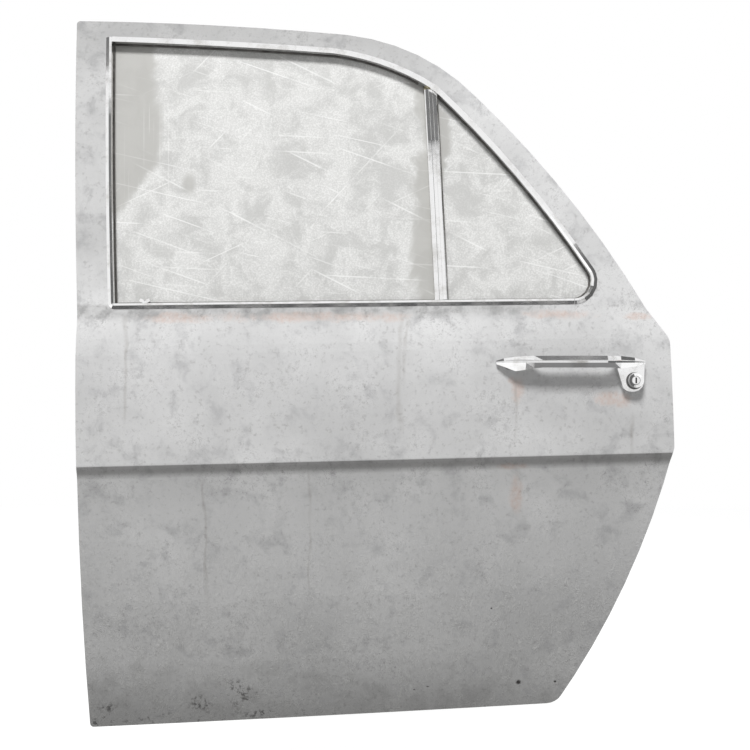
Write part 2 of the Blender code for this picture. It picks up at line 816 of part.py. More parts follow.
def make_mouldings(door):
    """Roofline moulding, front and waist moulding, and the small clip above the sill."""
    bright = chrome("bright_trim")
    sight = sight_line()
    top_front = (window_front(WINDOW_TOP) + MOULDING_WIDTH, WINDOW_TOP - MOULDING_WIDTH)
    foot = (slant_foot().x - WINDOW_CORNER_RADIUS, WINDOW_SILL)
    roofline = split_path(sight, foot, top_front)
    roofline[0] = roofline[0] + (roofline[1] - roofline[0]).normalized() * GAP
    waist = split_path(sight, top_front, foot)
    waist[0] = waist[0] + (waist[1] - waist[0]).normalized() * (MOULDING_WIDTH + GAP)
    for name, path in (("roofline_moulding", roofline), ("waist_moulding", waist)):
        place(name, swept_path(name, path, moulding_profile(), on_window), bright, door)
    make_clip(door, bright)


def make_clip(door, finish):
    """Small two-eared clip that stands on the sill behind the waist moulding."""
    foot = WINDOW_SILL + MOULDING_WIDTH + CLIP_PLACE * tan(WINDOW_SILL_RISE) + GAP
    half, tall = CLIP_LENGTH / 2, CLIP_HEIGHT
    ears = [(-half, tall * 0.55), (-half * 0.8, tall * 0.2), (-half * 0.3, 0), (half * 0.3, 0),
            (half * 0.8, tall * 0.2), (half, tall * 0.55), (half * 0.75, tall), (half * 0.3, tall * 0.75),
            (0, tall * 0.35), (-half * 0.3, tall * 0.75), (-half * 0.75, tall)]
    outline = [Vector((CLIP_PLACE + x, foot + z)) for x, z in ears]
    mesh = prism("moulding_clip", outline, on_window, GLASS_INSET * 0.45, GLASS_INSET * 0.75)
    place("moulding_clip", mesh, finish, door)


def bar_edge(z, side):
    """One edge of the division bar: -1 for the front one and 1 for the rear one."""
    return bar_line(z) + side * BAR_WIDTH / 2


def channel_profile(mouth, entry, base, wall):
    """U section of a glass run, as (outward, inward) pairs from its sight line."""
    near = GLASS_INSET - GLASS_PLAY
    far = GLASS_INSET + GLASS_WALL + GLASS_PLAY
    floor = entry + GLASS_END_PLAY
    return [(-mouth, near - wall), (floor + base, near - wall), (floor + base, far + wall),
            (-mouth, far + wall), (-mouth, far), (floor, far), (floor, near), (-mouth, near)]


def down_line(start, reach, count):
    """Points below start, along the way that the glass slides."""
    way = Vector((sin(LEAN), -cos(LEAN)))
    return [start + way * distance for distance in spread(0, reach, count)[1:]]


def header_line(outline):
    """Top of a window outline, from the division bar to the front corner."""
    bar_head = (bar_edge(BAR_TOP, -1), BAR_TOP)
    corner = (window_front(WINDOW_TOP) + MOULDING_WIDTH, WINDOW_TOP - MOULDING_WIDTH)
    return split_path(outline, bar_head, corner)


def make_glass_runs(door):
    """Rubber glass runs: over the header and down the front, and in the division bar."""
    rubber = black_rubber("seal_rubber")
    header = header_line(clip(sight_line(), lambda p: bar_edge(p.y, -1) - RUN_END - p.x))
    corner = header[-1]
    path = header + down_line(corner, corner.y - BELT_HEIGHT + RUN_DROP, 12)
    profile = channel_profile(RUN_MOUTH, GLASS_ENTRY, RUN_BASE, RUN_WALL)
    place("front_glass_run", swept_path("front_glass_run", path, profile, on_window), rubber, door)
    top = Vector((bar_edge(BAR_TOP, -1), BAR_TOP))
    path = [top] + down_line(top, top.y - BELT_HEIGHT + RUN_DROP, 11)
    path.reverse()
    profile = channel_profile(0, BAR_ENTRY, BAR_RUN_BASE, BAR_RUN_WALL)
    place("rear_glass_run", swept_path("rear_glass_run", path, profile, on_window), rubber, door)


def make_division_bar(door):
    """Steel channel between the two glasses, with its bright capping."""
    near = GLASS_INSET - GLASS_PLAY - BAR_RUN_WALL - GAP
    far = GLASS_INSET + GLASS_WALL + GLASS_PLAY + BAR_RUN_WALL + GAP
    web = BAR_ENTRY + GLASS_END_PLAY + BAR_RUN_BASE + GAP - BAR_WIDTH / 2
    front, wall = -BAR_WIDTH / 2, BAR_WALL
    section = [(front, near - wall), (web + wall, near - wall), (web + wall, far + wall),
               (front, far + wall), (front, far), (web, far), (web, near), (front, near)]
    top = Vector((bar_line(BAR_TOP), BAR_TOP))
    path = [top] + down_line(top, top.y - BELT_HEIGHT + RUN_DROP, 11)
    path.reverse()
    core = swept_path("division_bar", path, section, on_window)
    place("division_bar", core, plated("plated_steel"), door)
    half, face, back = BAR_WIDTH / 2, BAR_FACE, near - wall - GAP
    cap_wall = MOULDING_WALL
    cap = [(-half, back), (-half, face + 0.0015), (-half + 0.0015, face), (-half * 0.32, face),
           (-half * 0.26, face + 0.0008), (half * 0.26, face + 0.0008), (half * 0.32, face),
           (half - 0.0015, face), (half, face + 0.0015), (half, back), (half - cap_wall, back),
           (half - cap_wall, face + 0.0023), (-half + cap_wall, face + 0.0023), (-half + cap_wall, back)]
    head = Vector((bar_line(BAR_CAP_TOP), BAR_CAP_TOP))
    low = WINDOW_SILL + MOULDING_WIDTH + BAR_FOOT * tan(WINDOW_SILL_RISE) + GAP
    path = [head] + down_line(head, head.y - low, 9)
    path.reverse()
    mesh = swept_path("division_bar_capping", path, cap, on_window)
    capping = place("division_bar_capping", mesh, bpy.data.materials["bright_trim"], door)
    reach = 2 * BAR_WIDTH
    under = [p for p in offset_loop(sight_line(), -GAP)
             if abs(p.x - head.x) < reach and p.y > BAR_CAP_TOP - 3 * BAR_WIDTH]
    up = Vector((0, 3 * BAR_WIDTH))
    outline = [*under, under[-1] + up, under[0] + up]
    cut(capping, cutter("bar_head", prism("bar_head", outline, flat, 0, PANEL_DEPTH), door))


def glass_pane(name, outline, parent, origin=(0, 0, 0)):
    """Curved pane of even thickness on the window plane."""
    lines = [sloping(h, LEAN) for h in spread(BELT_HEIGHT, DOOR_HEIGHT, 7)[:-1]]
    shape = panel_cells(divide(outline, lines), [], lines)
    for vertex in shape.verts:
        vertex.co = on_window((vertex.co.x, vertex.co.z), GLASS_INSET)
    pane = place(name, mesh_of(name, shape), bpy.data.materials["window_glass"], parent, origin)
    thicken(pane, GLASS_WALL)
    return pane


def drop_glass_outline():
    """Drop glass, from its skirt below the belt to its edge inside the runs."""
    grown = offset_loop(sight_line(), GLASS_ENTRY)
    inset = BAR_ENTRY - BAR_WIDTH / 2
    held = clip(grown, lambda p: bar_line(p.y) + inset - p.x)
    header = header_line(held)
    low = BELT_HEIGHT - GLASS_SKIRT
    rear = Vector((bar_line(low) + inset, low + bar_line(low) * tan(LEAN)))
    front_x = header[-1].x + (header[-1].y - low) * tan(LEAN)
    front = Vector((front_x, low + front_x * tan(LEAN)))
    return [rear, *header, front]


def make_quarter_glass(door):
    """Fixed quarter glass and the rubber that holds it."""
    sight = divide(clip(sight_line(), lambda p: p.x - bar_edge(p.y, 1)), window_lines())
    near, far = GLASS_INSET - 2 * GAP, GLASS_INSET + GLASS_WALL + 2 * GAP
    wall = GLASS_PLAY + RUN_WALL - 2 * GAP
    floor = QUARTER_ENTRY + GAP
    outer = BAR_WIDTH / 2 + BAR_ENTRY_REST
    profile = [(-RUN_MOUTH, near - wall), (outer, near - wall), (outer, far + wall),
               (-RUN_MOUTH, far + wall), (-RUN_MOUTH, far), (floor, far), (floor, near), (-RUN_MOUTH, near)]
    seal = swept_ring("quarter_glass_seal", sight, profile, on_window)
    place("quarter_glass_seal", seal, bpy.data.materials["seal_rubber"], door)
    glass_pane("quarter_glass", offset_loop(sight, QUARTER_ENTRY), door)


def make_waist_seals(door):
    """Wiper seals on both sides of the drop glass at the belt."""
    near, far = GLASS_INSET - GAP, GLASS_INSET + GLASS_WALL + WAIST_SEAL_PLAY
    skin_side = GLASS_INSET - GLASS_PLAY - RUN_WALL
    panel_side = GLASS_INSET + GLASS_WALL + GLASS_PLAY + RUN_WALL
    low = WINDOW_SILL + LIP_INSET - WAIST_SEAL_HEIGHT * 0.45
    start = WINDOW_FRONT + MOULDING_WIDTH + RUN_MOUTH + 0.002
    end = bar_edge(WINDOW_SILL, -1) - 0.002
    for name, first, last in (("outer_waist_seal", skin_side, near), ("inner_waist_seal", far, panel_side)):
        section = [(0, first), (WAIST_SEAL_HEIGHT, first), (WAIST_SEAL_HEIGHT, last), (0, last)]
        loops = []
        for x in spread(start, end, 8):
            base = low + x * tan(WINDOW_SILL_RISE)
            loops.append([on_window((x, base + up), shift) for up, shift in section])
        place(name, lofted(name, loops), bpy.data.materials["seal_rubber"], door)


# Outer handle

def handle_base(x):
    """Depth of the straight base line of the handle, laid across its two fixings."""
    first, last = stud_places()
    share = (x - first.x) / (last.x - first.x)
    low, high = skin_depth(*first), skin_depth(*last)
    return low + (high - low) * share - PAD_WALL - GAP


def on_handle(point, proud):
    return Vector((point[0], handle_base(point[0]) - proud, point[1]))


def handle_section(x, back, proud, above, below):
    """Section of the grip: an upper face, two fine ridges with a groove between, and a lower face."""
    middle = (back + proud) / 2
    fine = (above + below) / (GRIP_ABOVE + GRIP_BELOW)
    line = GRIP_LINE * fine
    shape = [(back, above * 0.55), (middle, above), (proud - 0.0050 * fine, above * 0.94),
             (proud - 0.0022 * fine, line + 0.0021 * fine), (proud, line + 0.0008 * fine),
             (proud - 0.0015 * fine, line - 0.0005 * fine), (proud - 0.0003 * fine, line - 0.0018 * fine),
             (proud - 0.0045 * fine, -below * 0.95), (middle, -below), (back, -below * 0.6)]
    return [on_handle((HANDLE_TIP + x, HANDLE_HEIGHT + up), out) for out, up in shape]


def make_handle(door):
    """Pull handle cast in one with the lug that carries the push button."""
    bright = chrome("handle_chrome")
    long, proud, gap = HANDLE_LENGTH, HANDLE_PROUD, HANDLE_FINGER_GAP
    above, below = GRIP_ABOVE, GRIP_BELOW
    foot = 0.0
    stations = [(0, foot, 0.007, 0.0026, 0.0030), (0.010, foot, 0.016, 0.0060, 0.0068),
                (0.026, foot, 0.026, 0.0084, 0.0138), (0.040, foot, 0.031, 0.0094, 0.0116),
                (0.052, gap * 0.6, proud - 0.002, above, below * 1.12), (0.064, gap, proud, above, below),
                (long - 0.060, gap, proud, above, below),
                (long - 0.050, gap * 0.7, proud - 0.001, above, below * 1.03),
                (long - 0.040, foot, proud - 0.003, above * 0.97, below * 1.20),
                (long - 0.018, foot, proud * 0.7, above * 0.72, below * 0.88),
                (long, foot, 0.012, 0.0022, 0.0022)]
    loops = [handle_section(*station) for station in stations]
    grip = place("pull_handle", lofted("pull_handle", loops), bright, door, angle=25)
    lug = place("handle_lug", lug_mesh(), bright, door)
    lug.hide_render = True
    lug.display_type = "WIRE"
    cut(grip, lug, "UNION")
    bore = turned("button_bore", on_handle(button_centre(), LUG_THICKNESS * 3), (0, 1, 0),
                  [(BUTTON_RADIUS + BUTTON_PLAY, 0), (BUTTON_RADIUS + BUTTON_PLAY, LUG_THICKNESS * 4)])
    cut(grip, cutter("button_bore", bore, door))
    return grip


def lug_mesh():
    """Escutcheon below the rear foot, as a tapered plate with a round lower end."""
    centre = button_centre()
    left, right = centre.x - 0.0185, HANDLE_TIP + HANDLE_LENGTH - 0.0012
    top = HANDLE_HEIGHT - 0.002
    corners = [(right, top), (left - 0.0090, top), (left + 0.0030, centre.y - 0.0165),
               (right - 0.0015, centre.y - 0.0165)]
    low = fillet(corners[1], corners[2], corners[3], 0.012, 4)
    low += fillet(corners[2], corners[3], corners[0], 0.0155, 5)
    outline = [Vector(corners[0]), Vector(corners[1])] + low
    return prism("handle_lug", outline, on_handle, GAP, LUG_THICKNESS)


def make_handle_pads(door):
    """Gaskets under both feet, and the screws that hold the handle from inside."""
    rubber = bpy.data.materials["seal_rubber"]
    steel = bare_steel("screw_steel")
    first, last = stud_places()
    for name, centre, reach in (("handle_front_pad", first, 0.016), ("handle_rear_pad", last, 0.012)):
        corners = [(centre.x + sx * reach, centre.y + sz * 0.0075) for sx, sz in
                   ((-1, -1), (1, -1), (1, 1), (-1, 1))]
        outline = rounded([Vector(c) for c in corners], 0.004, 2)
        loops = [[on_skin(p, -GAP) for p in outline], [on_handle(p, -GAP) for p in outline]]
        place(name, lofted(name, loops), rubber, door)
    for name, centre in (("handle_front_screw", first), ("handle_rear_screw", last)):
        inside = on_skin(centre, SKIN_WALL + SCREW_GAP)
        profile = [(STUD_RADIUS, -SCREW_GAP), (STUD_RADIUS, 0), (0.0065, 0), (0.0065, 0.004),
                   (0.0035, 0.0055)]
        place(name, turned(name, inside, (0, 1, 0), profile, SMALL_ROUND), steel, door)


def make_push_button(door):
    """Push button with its plunger, and the key barrel inside it."""
    bright = bpy.data.materials["handle_chrome"]
    base = on_handle(button_centre(), LUG_THICKNESS + BUTTON_PROUD)
    bore = KEY_RADIUS + BUTTON_PLAY
    neck = BUTTON_NECK_RADIUS
    step = LUG_THICKNESS + BUTTON_PROUD - BUTTON_TRAVEL - 0.001
    profile = [(bore, 0.0006), (BUTTON_RADIUS - 0.0012, 0), (BUTTON_RADIUS, 0.0012), (BUTTON_RADIUS, step),
               (neck, step), (neck, BUTTON_LENGTH), (bore, BUTTON_LENGTH)]
    mesh = turned("push_button", base, (0, 1, 0), profile, ROUND, bored=True)
    place("push_button", mesh, bright, door, base)
    barrel = [(KEY_RADIUS - 0.0005, -0.0004), (KEY_RADIUS, 0.0002), (KEY_RADIUS, BUTTON_LENGTH + 0.006),
              (0.0025, BUTTON_LENGTH + 0.006), (0.0025, BUTTON_LENGTH + 0.016)]
    key = place("key_barrel", turned("key_barrel", base, (0, 1, 0), barrel, ROUND), bright, door, base)
    half, tall = KEY_SLOT
    slot = rounded(box_outline(base.x - half, base.x + half, base.z - tall, base.z + tall), half * 0.6, 1)
    cut(key, cutter("key_slot", prism("key_slot", slot, flat, base.y - 0.002, base.y + 0.005), door))


# Reinforcements on the shut faces

def seat_holes(height):
    """Places of the four bolts of a hinge seat, as (depth, height)."""
    across, up = HINGE_SEAT_WIDTH / 2 - 0.009, HINGE_SEAT_HEIGHT / 2 - 0.016
    return [(HINGE_SEAT_DEPTH + i * across, height + k * up) for i in (-1, 1) for k in (-1, 1)]


def make_hinge_plates(door, panel):
    """Tapped plates behind both hinge seats, with bolt holes through the shut face."""
    steel = bare_steel("hinge_plate_steel")
    start = SHUT_INSET + PANEL_WALL + GAP
    for label, height in (("lower", LOWER_HINGE_HEIGHT), ("upper", UPPER_HINGE_HEIGHT)):
        name = f"{label}_hinge_plate"
        half, tall = HINGE_SEAT_WIDTH / 2, HINGE_SEAT_HEIGHT / 2
        corners = [Vector((HINGE_SEAT_DEPTH + i * half, height + k * tall)) for i, k in
                   ((-1, -1), (1, -1), (1, 1), (-1, 1))]
        outline = rounded(corners, 0.006, 2)
        mesh = prism(name, outline, lambda p, x: Vector((x, p[0], p[1])), start, start + HINGE_PLATE)
        plate = place(name, mesh, steel, door)
        for index, (depth, up) in enumerate(seat_holes(height)):
            profile = [(HINGE_BOLT_RADIUS, 0), (HINGE_BOLT_RADIUS, SHUT_INSET * 2)]
            tool_name = f"{name}_hole_{index + 1}"
            base = Vector((SHUT_INSET - 0.006, depth, up))
            tool = cutter(tool_name, turned(tool_name, base, (1, 0, 0), profile, SMALL_ROUND), door)
            cut(plate, tool)
            cut(panel, tool)


def latch_tilt():
    rise = SHOULDER_CORNER_HEIGHT - CREASE_CORNER_HEIGHT
    return Vector((SHOULDER_INSET, rise)).normalized()


def on_latch(point, deep):
    """Place on the rear shut face, from (depth, height above the latch) and distance inside it."""
    lean = latch_tilt()
    outward = Vector((lean.y, lean.x))
    share = (LATCH_HEIGHT - CREASE_CORNER_HEIGHT) / (SHOULDER_CORNER_HEIGHT - CREASE_CORNER_HEIGHT)
    edge = DOOR_LENGTH - SHOULDER_INSET * share - SHUT_INSET / lean.y
    x = edge - outward.x * deep - lean.x * point[1]
    z = LATCH_HEIGHT - outward.y * deep + lean.y * point[1]
    return Vector((x, point[0], z))


def latch_axis():
    lean = latch_tilt()
    return Vector((lean.y, 0, lean.x))


def box_outline(left, right, low, high):
    return [Vector((left, low)), Vector((right, low)), Vector((right, high)), Vector((left, high))]


def make_latch(door, panel):
    """Rotary latch behind the rear shut face: case, cover, claw, pawl, pivots and screws."""
    plated_finish = plated("latch_plating")
    start = PANEL_WALL + GAP
    wall = LATCH_WALL
    left, right, tall = LATCH_DEPTH, LATCH_DEPTH + LATCH_WIDTH, LATCH_TALL / 2
    body = box_outline(left, right, -tall, tall)
    case = place("latch_case", prism("latch_case", body, on_latch, start, start + LATCH_THICK),
                 plated_finish, door, angle=25)
    hollow = box_outline(left + wall, right - wall, -tall + wall, tall - wall)
    cut(case, cutter("latch_hollow", prism("latch_hollow", hollow, on_latch, start + wall, 0.05), door))
    half = MOUTH_HEIGHT / 2
    mouth = fillet((right, half), (right - MOUTH_DEPTH, half), (right - MOUTH_DEPTH, -half), half * 0.9, 3)
    mouth += fillet((right - MOUTH_DEPTH, half), (right - MOUTH_DEPTH, -half), (right, -half), half * 0.9, 3)
    mouth += [Vector((right + 0.030, -half)), Vector((right + 0.030, half))]
    mouth_mesh = prism("latch_mouth", mouth, on_latch, -0.006, start + MOUTH_REACH)
    cut(case, cutter("latch_mouth", mouth_mesh, door))
    wide = cutter("shut_face_mouth", prism("shut_face_mouth", offset_loop(mouth, -0.001), on_latch,
                                           -0.006, start + MOUTH_REACH), door)
    cut(panel, wide)
    cover = box_outline(left, right, -tall, tall)
    deep = start + LATCH_THICK + GAP
    lid = prism("latch_cover", cover, on_latch, deep, deep + wall)
    place("latch_cover", lid, plated_finish, door, angle=25)
    claw_home = Vector((right - MOUTH_DEPTH + 0.008, CLAW_LIFT))
    pawl_home = Vector((left + 0.014, -tall + 0.015))
    make_claw(door, claw_home, start)
    make_pawl(door, claw_home, pawl_home, start)
    for name, home in (("claw_pivot", claw_home), ("pawl_pivot", pawl_home)):
        base = on_latch(home, start + wall + GAP)
        profile = [(PIVOT_RADIUS, 0), (PIVOT_RADIUS, LATCH_THICK - wall - GAP)]
        place(name, turned(name, base, -latch_axis(), profile, SMALL_ROUND), plated_finish, door)
    make_latch_screws(door, panel, case, start)


def make_claw(door, home, start):
    """Rotary claw, shown open with its slot ready for the striker."""
    origin = on_latch(home, start + CLAW_REST)
    disc = circle(home, CLAW_RADIUS, ROUND)
    mesh = prism("latch_claw", disc, on_latch, start + CLAW_REST, start + CLAW_REST + CLAW_WALL)
    claw = place("latch_claw", mesh, bpy.data.materials["latch_plating"], door, origin, angle=25)
    out = Vector((cos(CLAW_OPEN), sin(CLAW_OPEN)))
    side = Vector((-out.y, out.x)) * (MOUTH_HEIGHT / 2 - 0.0005)
    foot, end = home + out * CLAW_SLOT_FOOT, home + out * (CLAW_RADIUS + 0.006)
    slot = fillet(end + side, foot + side, foot - side, MOUTH_HEIGHT * 0.45, 4)
    slot += fillet(foot + side, foot - side, end - side, MOUTH_HEIGHT * 0.45, 4)
    slot += [end - side, end + side]
    tool = cutter("claw_slot", prism("claw_slot", slot, on_latch, start, start + LATCH_THICK), door)
    cut(claw, tool)
    bore = circle(home, PIVOT_RADIUS + PIVOT_PLAY, SMALL_ROUND)
    cut(claw, cutter("claw_bore", prism("claw_bore", bore, on_latch, start, start + LATCH_THICK), door))


def make_pawl(door, claw_home, home, start):
    """Pawl that bears on the rim of the claw."""
    origin = on_latch(home, start + CLAW_REST)
    toward = claw_home - home
    reach = toward.length - CLAW_RADIUS - PIVOT_PLAY - GAP
    along = toward.normalized()
    side = Vector((-along.y, along.x))
    hub = PIVOT_RADIUS * 2
    tip = home + along * reach
    outline = [home + along * (hub * cos(a)) + side * (hub * sin(a)) for a in
               [radians(70) + radians(220) * i / 9 for i in range(10)]]
    outline += [tip - side * hub * 0.5, tip + side * hub * 0.5]
    mesh = prism("latch_pawl", outline, on_latch, start + CLAW_REST, start + CLAW_REST + CLAW_WALL)
    pawl = place("latch_pawl", mesh, bpy.data.materials["latch_plating"], door, origin, angle=25)
    bore = circle(home, PIVOT_RADIUS + PIVOT_PLAY, SMALL_ROUND)
    cut(pawl, cutter("pawl_bore", prism("pawl_bore", bore, on_latch, start, start + LATCH_THICK), door))


def make_latch_screws(door, panel, case, start):
    """Three screws that hold the latch to the shut face."""
    left, right, tall = LATCH_DEPTH, LATCH_DEPTH + LATCH_WIDTH, LATCH_TALL / 2
    places = [(left + 0.006, tall - 0.007), (right - 0.006, tall - 0.007), (right - 0.014, -tall + 0.009)]
    for index, spot in enumerate(places):
        name = f"latch_screw_{index + 1}"
        for label, radius, target in (("panel", 0.0031, panel), ("case", 0.0028, case)):
            tool_name = f"{name}_{label}_hole"
            hole = circle(spot, radius, SMALL_ROUND)
            cut(target, cutter(tool_name, prism(tool_name, hole, on_latch, -0.004, start + 0.006), door))
        base = on_latch(spot, -GAP)
        profile = [(0.0030, -0.0022), (0.0052, -0.0014), (0.0052, 0), (0.0024, 0), (0.0024, 0.007)]
        place(name, turned(name, base, -latch_axis(), profile, SMALL_ROUND),
              bpy.data.materials["screw_steel"], door)


def tube(name, points, radius, sides, cyclic=False):
    """Round bar or cable along a line of points."""
    loops = []
    count = len(points)
    for i, point in enumerate(points):
        before = points[i - 1] if cyclic or i else point
        after = points[(i + 1) % count] if cyclic or i < count - 1 else point
        loops.append(ring_points(point, after - before, radius, 0, sides))
    return lofted(name, loops, cyclic)


def rod_depth():
    """Depth of the release rod, which lies on the outer side of the release arm."""
    return PANEL_DEPTH - HOLE_LIP - GAP - 0.010 - ROD_RADIUS - GAP


def rod_height():
    """Height of the release rod, which passes just below the latch."""
    lowest = on_latch((0, -LATCH_TALL / 2), PANEL_WALL + LATCH_THICK + 2 * LATCH_WALL).z
    return lowest - ROD_PLAY - ROD_RADIUS


def release_place():
    """Centre of the inside release, whose arm reaches up to the rod."""
    return Vector((DOOR_LENGTH - RELEASE_SETBACK, rod_height() - RELEASE_ARM + 0.003))


def plate_outline(centre, left, right, low, high, radius):
    """Rounded plate, from the distances of its sides to a centre."""
    corners = box_outline(centre[0] + left, centre[0] + right, centre[1] + low, centre[1] + high)
    return rounded(corners, radius, 2)


def make_release(door):
    """Inside release: bearing plate, shaft with its arm, handle and the rod to the latch."""
    steel = bpy.data.materials["latch_plating"]
    home = release_place()
    inner = PANEL_DEPTH - HOLE_LIP - GAP
    plate = plate_outline(home, -0.030, 0.030, -0.020, 0.020, 0.006)
    bearing = prism("release_bearing", plate, flat, inner - 0.002, inner)
    bore = circle(home, 0.0054, SMALL_ROUND)
    bore = cutter("release_bore", prism("release_bore", bore, flat, inner - 0.01, inner + 0.01), door)
    cut(place("release_bearing", bearing, steel, door), bore)
    origin = flat(home, inner)
    shaft = turned("release_shaft", flat(home, inner - 0.010), (0, 1, 0), [(0.005, 0), (0.005, 0.034)],
                   SMALL_ROUND)
    shaft_item = place("release_shaft", shaft, steel, door, origin)
    arm = rounded([home + Vector(p) for p in ((-0.007, -0.007), (0.007, -0.007), (0.005, RELEASE_ARM),
                                              (-0.005, RELEASE_ARM))], 0.003, 2)
    arm_mesh = prism("release_arm", arm, flat, inner - 0.010, inner - 0.007)
    cut(shaft_item, cutter("release_arm", arm_mesh, door), "UNION")
    make_release_handle(door, home, origin)
    depth, height = rod_depth(), rod_height()
    end = on_latch((depth, 0), 0).x - LATCH_THICK - LATCH_WALL - 0.006
    points = [Vector((along, depth, height)) for along in (home.x, home.x + 0.040, end - 0.030, end)]
    place("release_rod", tube("release_rod", points, ROD_RADIUS, 8), steel, door, points[0])
    make_rod_guide(door, depth, height)


def make_release_handle(door, home, origin):
    """Inside handle, a hub with a flat grip that points forward."""
    outside = PANEL_DEPTH + GAP
    hub_profile = [(0.0054, 0), (0.014, 0), (0.013, 0.012), (0.0054, 0.012)]
    lever = turned("release_handle", flat(home, outside + 0.002), (0, 1, 0), hub_profile, ROUND, bored=True)
    handle = place("release_handle", lever, bpy.data.materials["bright_trim"], door, origin)
    grip = rounded([home + Vector(p) for p in ((-0.010, -0.007), (-0.010, 0.007), (-RELEASE_GRIP, 0.005),
                                               (-RELEASE_GRIP, -0.005))], 0.003, 2)
    grip_mesh = prism("release_grip", grip, flat, outside + 0.006, outside + 0.013)
    cut(handle, cutter("release_grip", grip_mesh, door), "UNION")


def make_rod_guide(door, depth, height):
    """Nylon guide that carries the release rod on the inner panel."""
    nylon = material("white_nylon", (0.75, 0.74, 0.70), 0.5)
    x = release_place().x + 0.065
    inner = PANEL_DEPTH - PANEL_WALL - GAP
    outline = rounded([Vector((depth - 0.007, height - 0.007)), Vector((inner, height - 0.007)),
                       Vector((inner, height + 0.007)), Vector((depth - 0.007, height + 0.007))], 0.002, 2)
    mesh = prism("rod_guide", outline, lambda p, along: Vector((along, p[0], p[1])), x, x + 0.012)
    guide = place("rod_guide", mesh, nylon, door)
    bore = turned("rod_bore", (x - 0.005, depth, height), (1, 0, 0),
                  [(ROD_RADIUS + PIVOT_PLAY, 0), (ROD_RADIUS + PIVOT_PLAY, 0.022)], SMALL_ROUND)
    cut(guide, cutter("rod_bore", bore, door))


def make_lock_knob(door, panel):
    """Sill lock knob, its rod to the latch and the ferrule in the waist ledge."""
    x, depth = KNOB_PLACE
    share = (depth - FRAME_DEPTH - BELT_DEPTH) / (PANEL_DEPTH - FRAME_DEPTH - BELT_DEPTH)
    ledge = BELT_HEIGHT + LEDGE_RISE - LEDGE_FALL * share
    knob_low = ledge + KNOB_TRAVEL + 0.014
    dark = material("knob_plastic", (0.05, 0.05, 0.05), 0.4)
    profile = [(KNOB_RADIUS * 0.8, 0), (KNOB_RADIUS, 0.004), (KNOB_RADIUS * 0.85, 0.014),
               (KNOB_RADIUS, 0.020), (KNOB_RADIUS * 0.6, 0.024)]
    place("lock_knob", turned("lock_knob", (x, depth, knob_low), (0, 0, 1), profile, ROUND), dark, door,
          (x, depth, knob_low))
    latch_top = on_latch((depth, LATCH_TALL / 2), 0).z
    end = on_latch((depth, LATCH_TALL / 2), LATCH_THICK / 2).x
    low = latch_top + KNOB_TRAVEL + ROD_RADIUS + 0.002
    bends = [(end, low), (end - 0.018, low), (x + 0.004, low + 0.004), (x, low + 0.014), (x, knob_low - GAP)]
    points = [flat(bend, depth) for bend in bends]
    place("lock_rod", tube("lock_rod", points, ROD_RADIUS, 8), bpy.data.materials["latch_plating"], door,
          (x, depth, knob_low))
    sleeve = 0.0062
    hole = turned("knob_hole", (x, depth, ledge - 0.05), (0, 0, 1), [(sleeve, 0), (sleeve, 0.1)],
                  SMALL_ROUND)
    cut(panel, cutter("knob_hole", hole, door))
    inner, outer = ROD_RADIUS + PIVOT_PLAY, sleeve - GAP
    ferrule = [(inner, -0.013), (outer, -0.013), (outer, 0.010), (outer + 0.0025, 0.011),
               (outer + 0.0025, 0.013), (inner, 0.013)]
    place("knob_ferrule", turned("knob_ferrule", (x, depth, ledge), (0, 0, 1), ferrule, ROUND, bored=True),
          dark, door)


# Window regulator

def on_rail(across, up, shift):
    """Place on the regulator, from distances across the rail, above the belt and behind the window."""
    x = RAIL_PLACE + across * cos(LEAN) - up * sin(LEAN)
    z = BELT_HEIGHT + RAIL_PLACE * tan(LEAN) + across * sin(LEAN) + up * cos(LEAN)
    return on_window((x, z), shift)


def band(points, wall):
    """Closed outline of a bent strip from the middle line of its bends."""
    points = [Vector(p) for p in points]
    return offset_path(points, wall / 2) + list(reversed(offset_path(points, -wall / 2)))


def across_rail(name, outline, half):
    """Solid with one outline in (height, shift), from one side of the rail to the other."""
    return lofted(name, [[on_rail(side * half, p[0], p[1]) for p in outline] for side in (-1, 1)])


def glass_pivot():
    """A point on the axis about which the curved glass slides."""
    drop = WINDOW_RADIUS * sin(WINDOW_TILT)
    crest = BELT_DEPTH - WINDOW_RADIUS * (1 - cos(WINDOW_TILT))
    x, z = RAIL_PLACE + drop * sin(LEAN), BELT_HEIGHT + RAIL_PLACE * tan(LEAN) - drop * cos(LEAN)
    return Vector((x, crest + GLASS_INSET + GLASS_WALL / 2 + WINDOW_RADIUS, z))


def make_drop_glass(door):
    """Drop glass with the channel, bracket and slider that ride on the rail."""
    pivot = bpy.data.objects.new("glass_pivot", None)
    pivot.location = glass_pivot()
    pivot.parent = door
    bpy.context.scene.collection.objects.link(pivot)
    home = glass_pivot()
    glass_pane("drop_glass", drop_glass_outline(), door, home)
    steel = bpy.data.materials["hinge_plate_steel"]
    low = -GLASS_SKIRT
    near, far = GLASS_INSET - GAP, GLASS_INSET + GLASS_WALL + GAP
    wall = RAIL_WALL
    top, foot = low + 0.012, low - wall - GAP
    channel = [(foot, near - wall), (top, near - wall), (top, near), (low - GAP, near),
               (low - GAP, far), (top, far), (top, far + wall), (foot, far + wall)]
    place("lift_channel", across_rail("lift_channel", channel, LIFT_LENGTH / 2), steel, door, home)
    first = far + wall + GAP + wall / 2
    last = RAIL_SHIFT - SLIDER_RISE - GAP - wall / 2
    line = [(low + 0.010, first), (SLIDER_TOP + 0.002, first), (SLIDER_TOP - 0.004, last),
            (SLIDER_TOP - SLIDER_LENGTH, last)]
    bracket = across_rail("slider_bracket", band(line, wall), RAIL_WIDTH * 0.4)
    place("slider_bracket", bracket, steel, door, home)
    place("glass_slider", slider_mesh(), bpy.data.materials["white_nylon"], door, home)


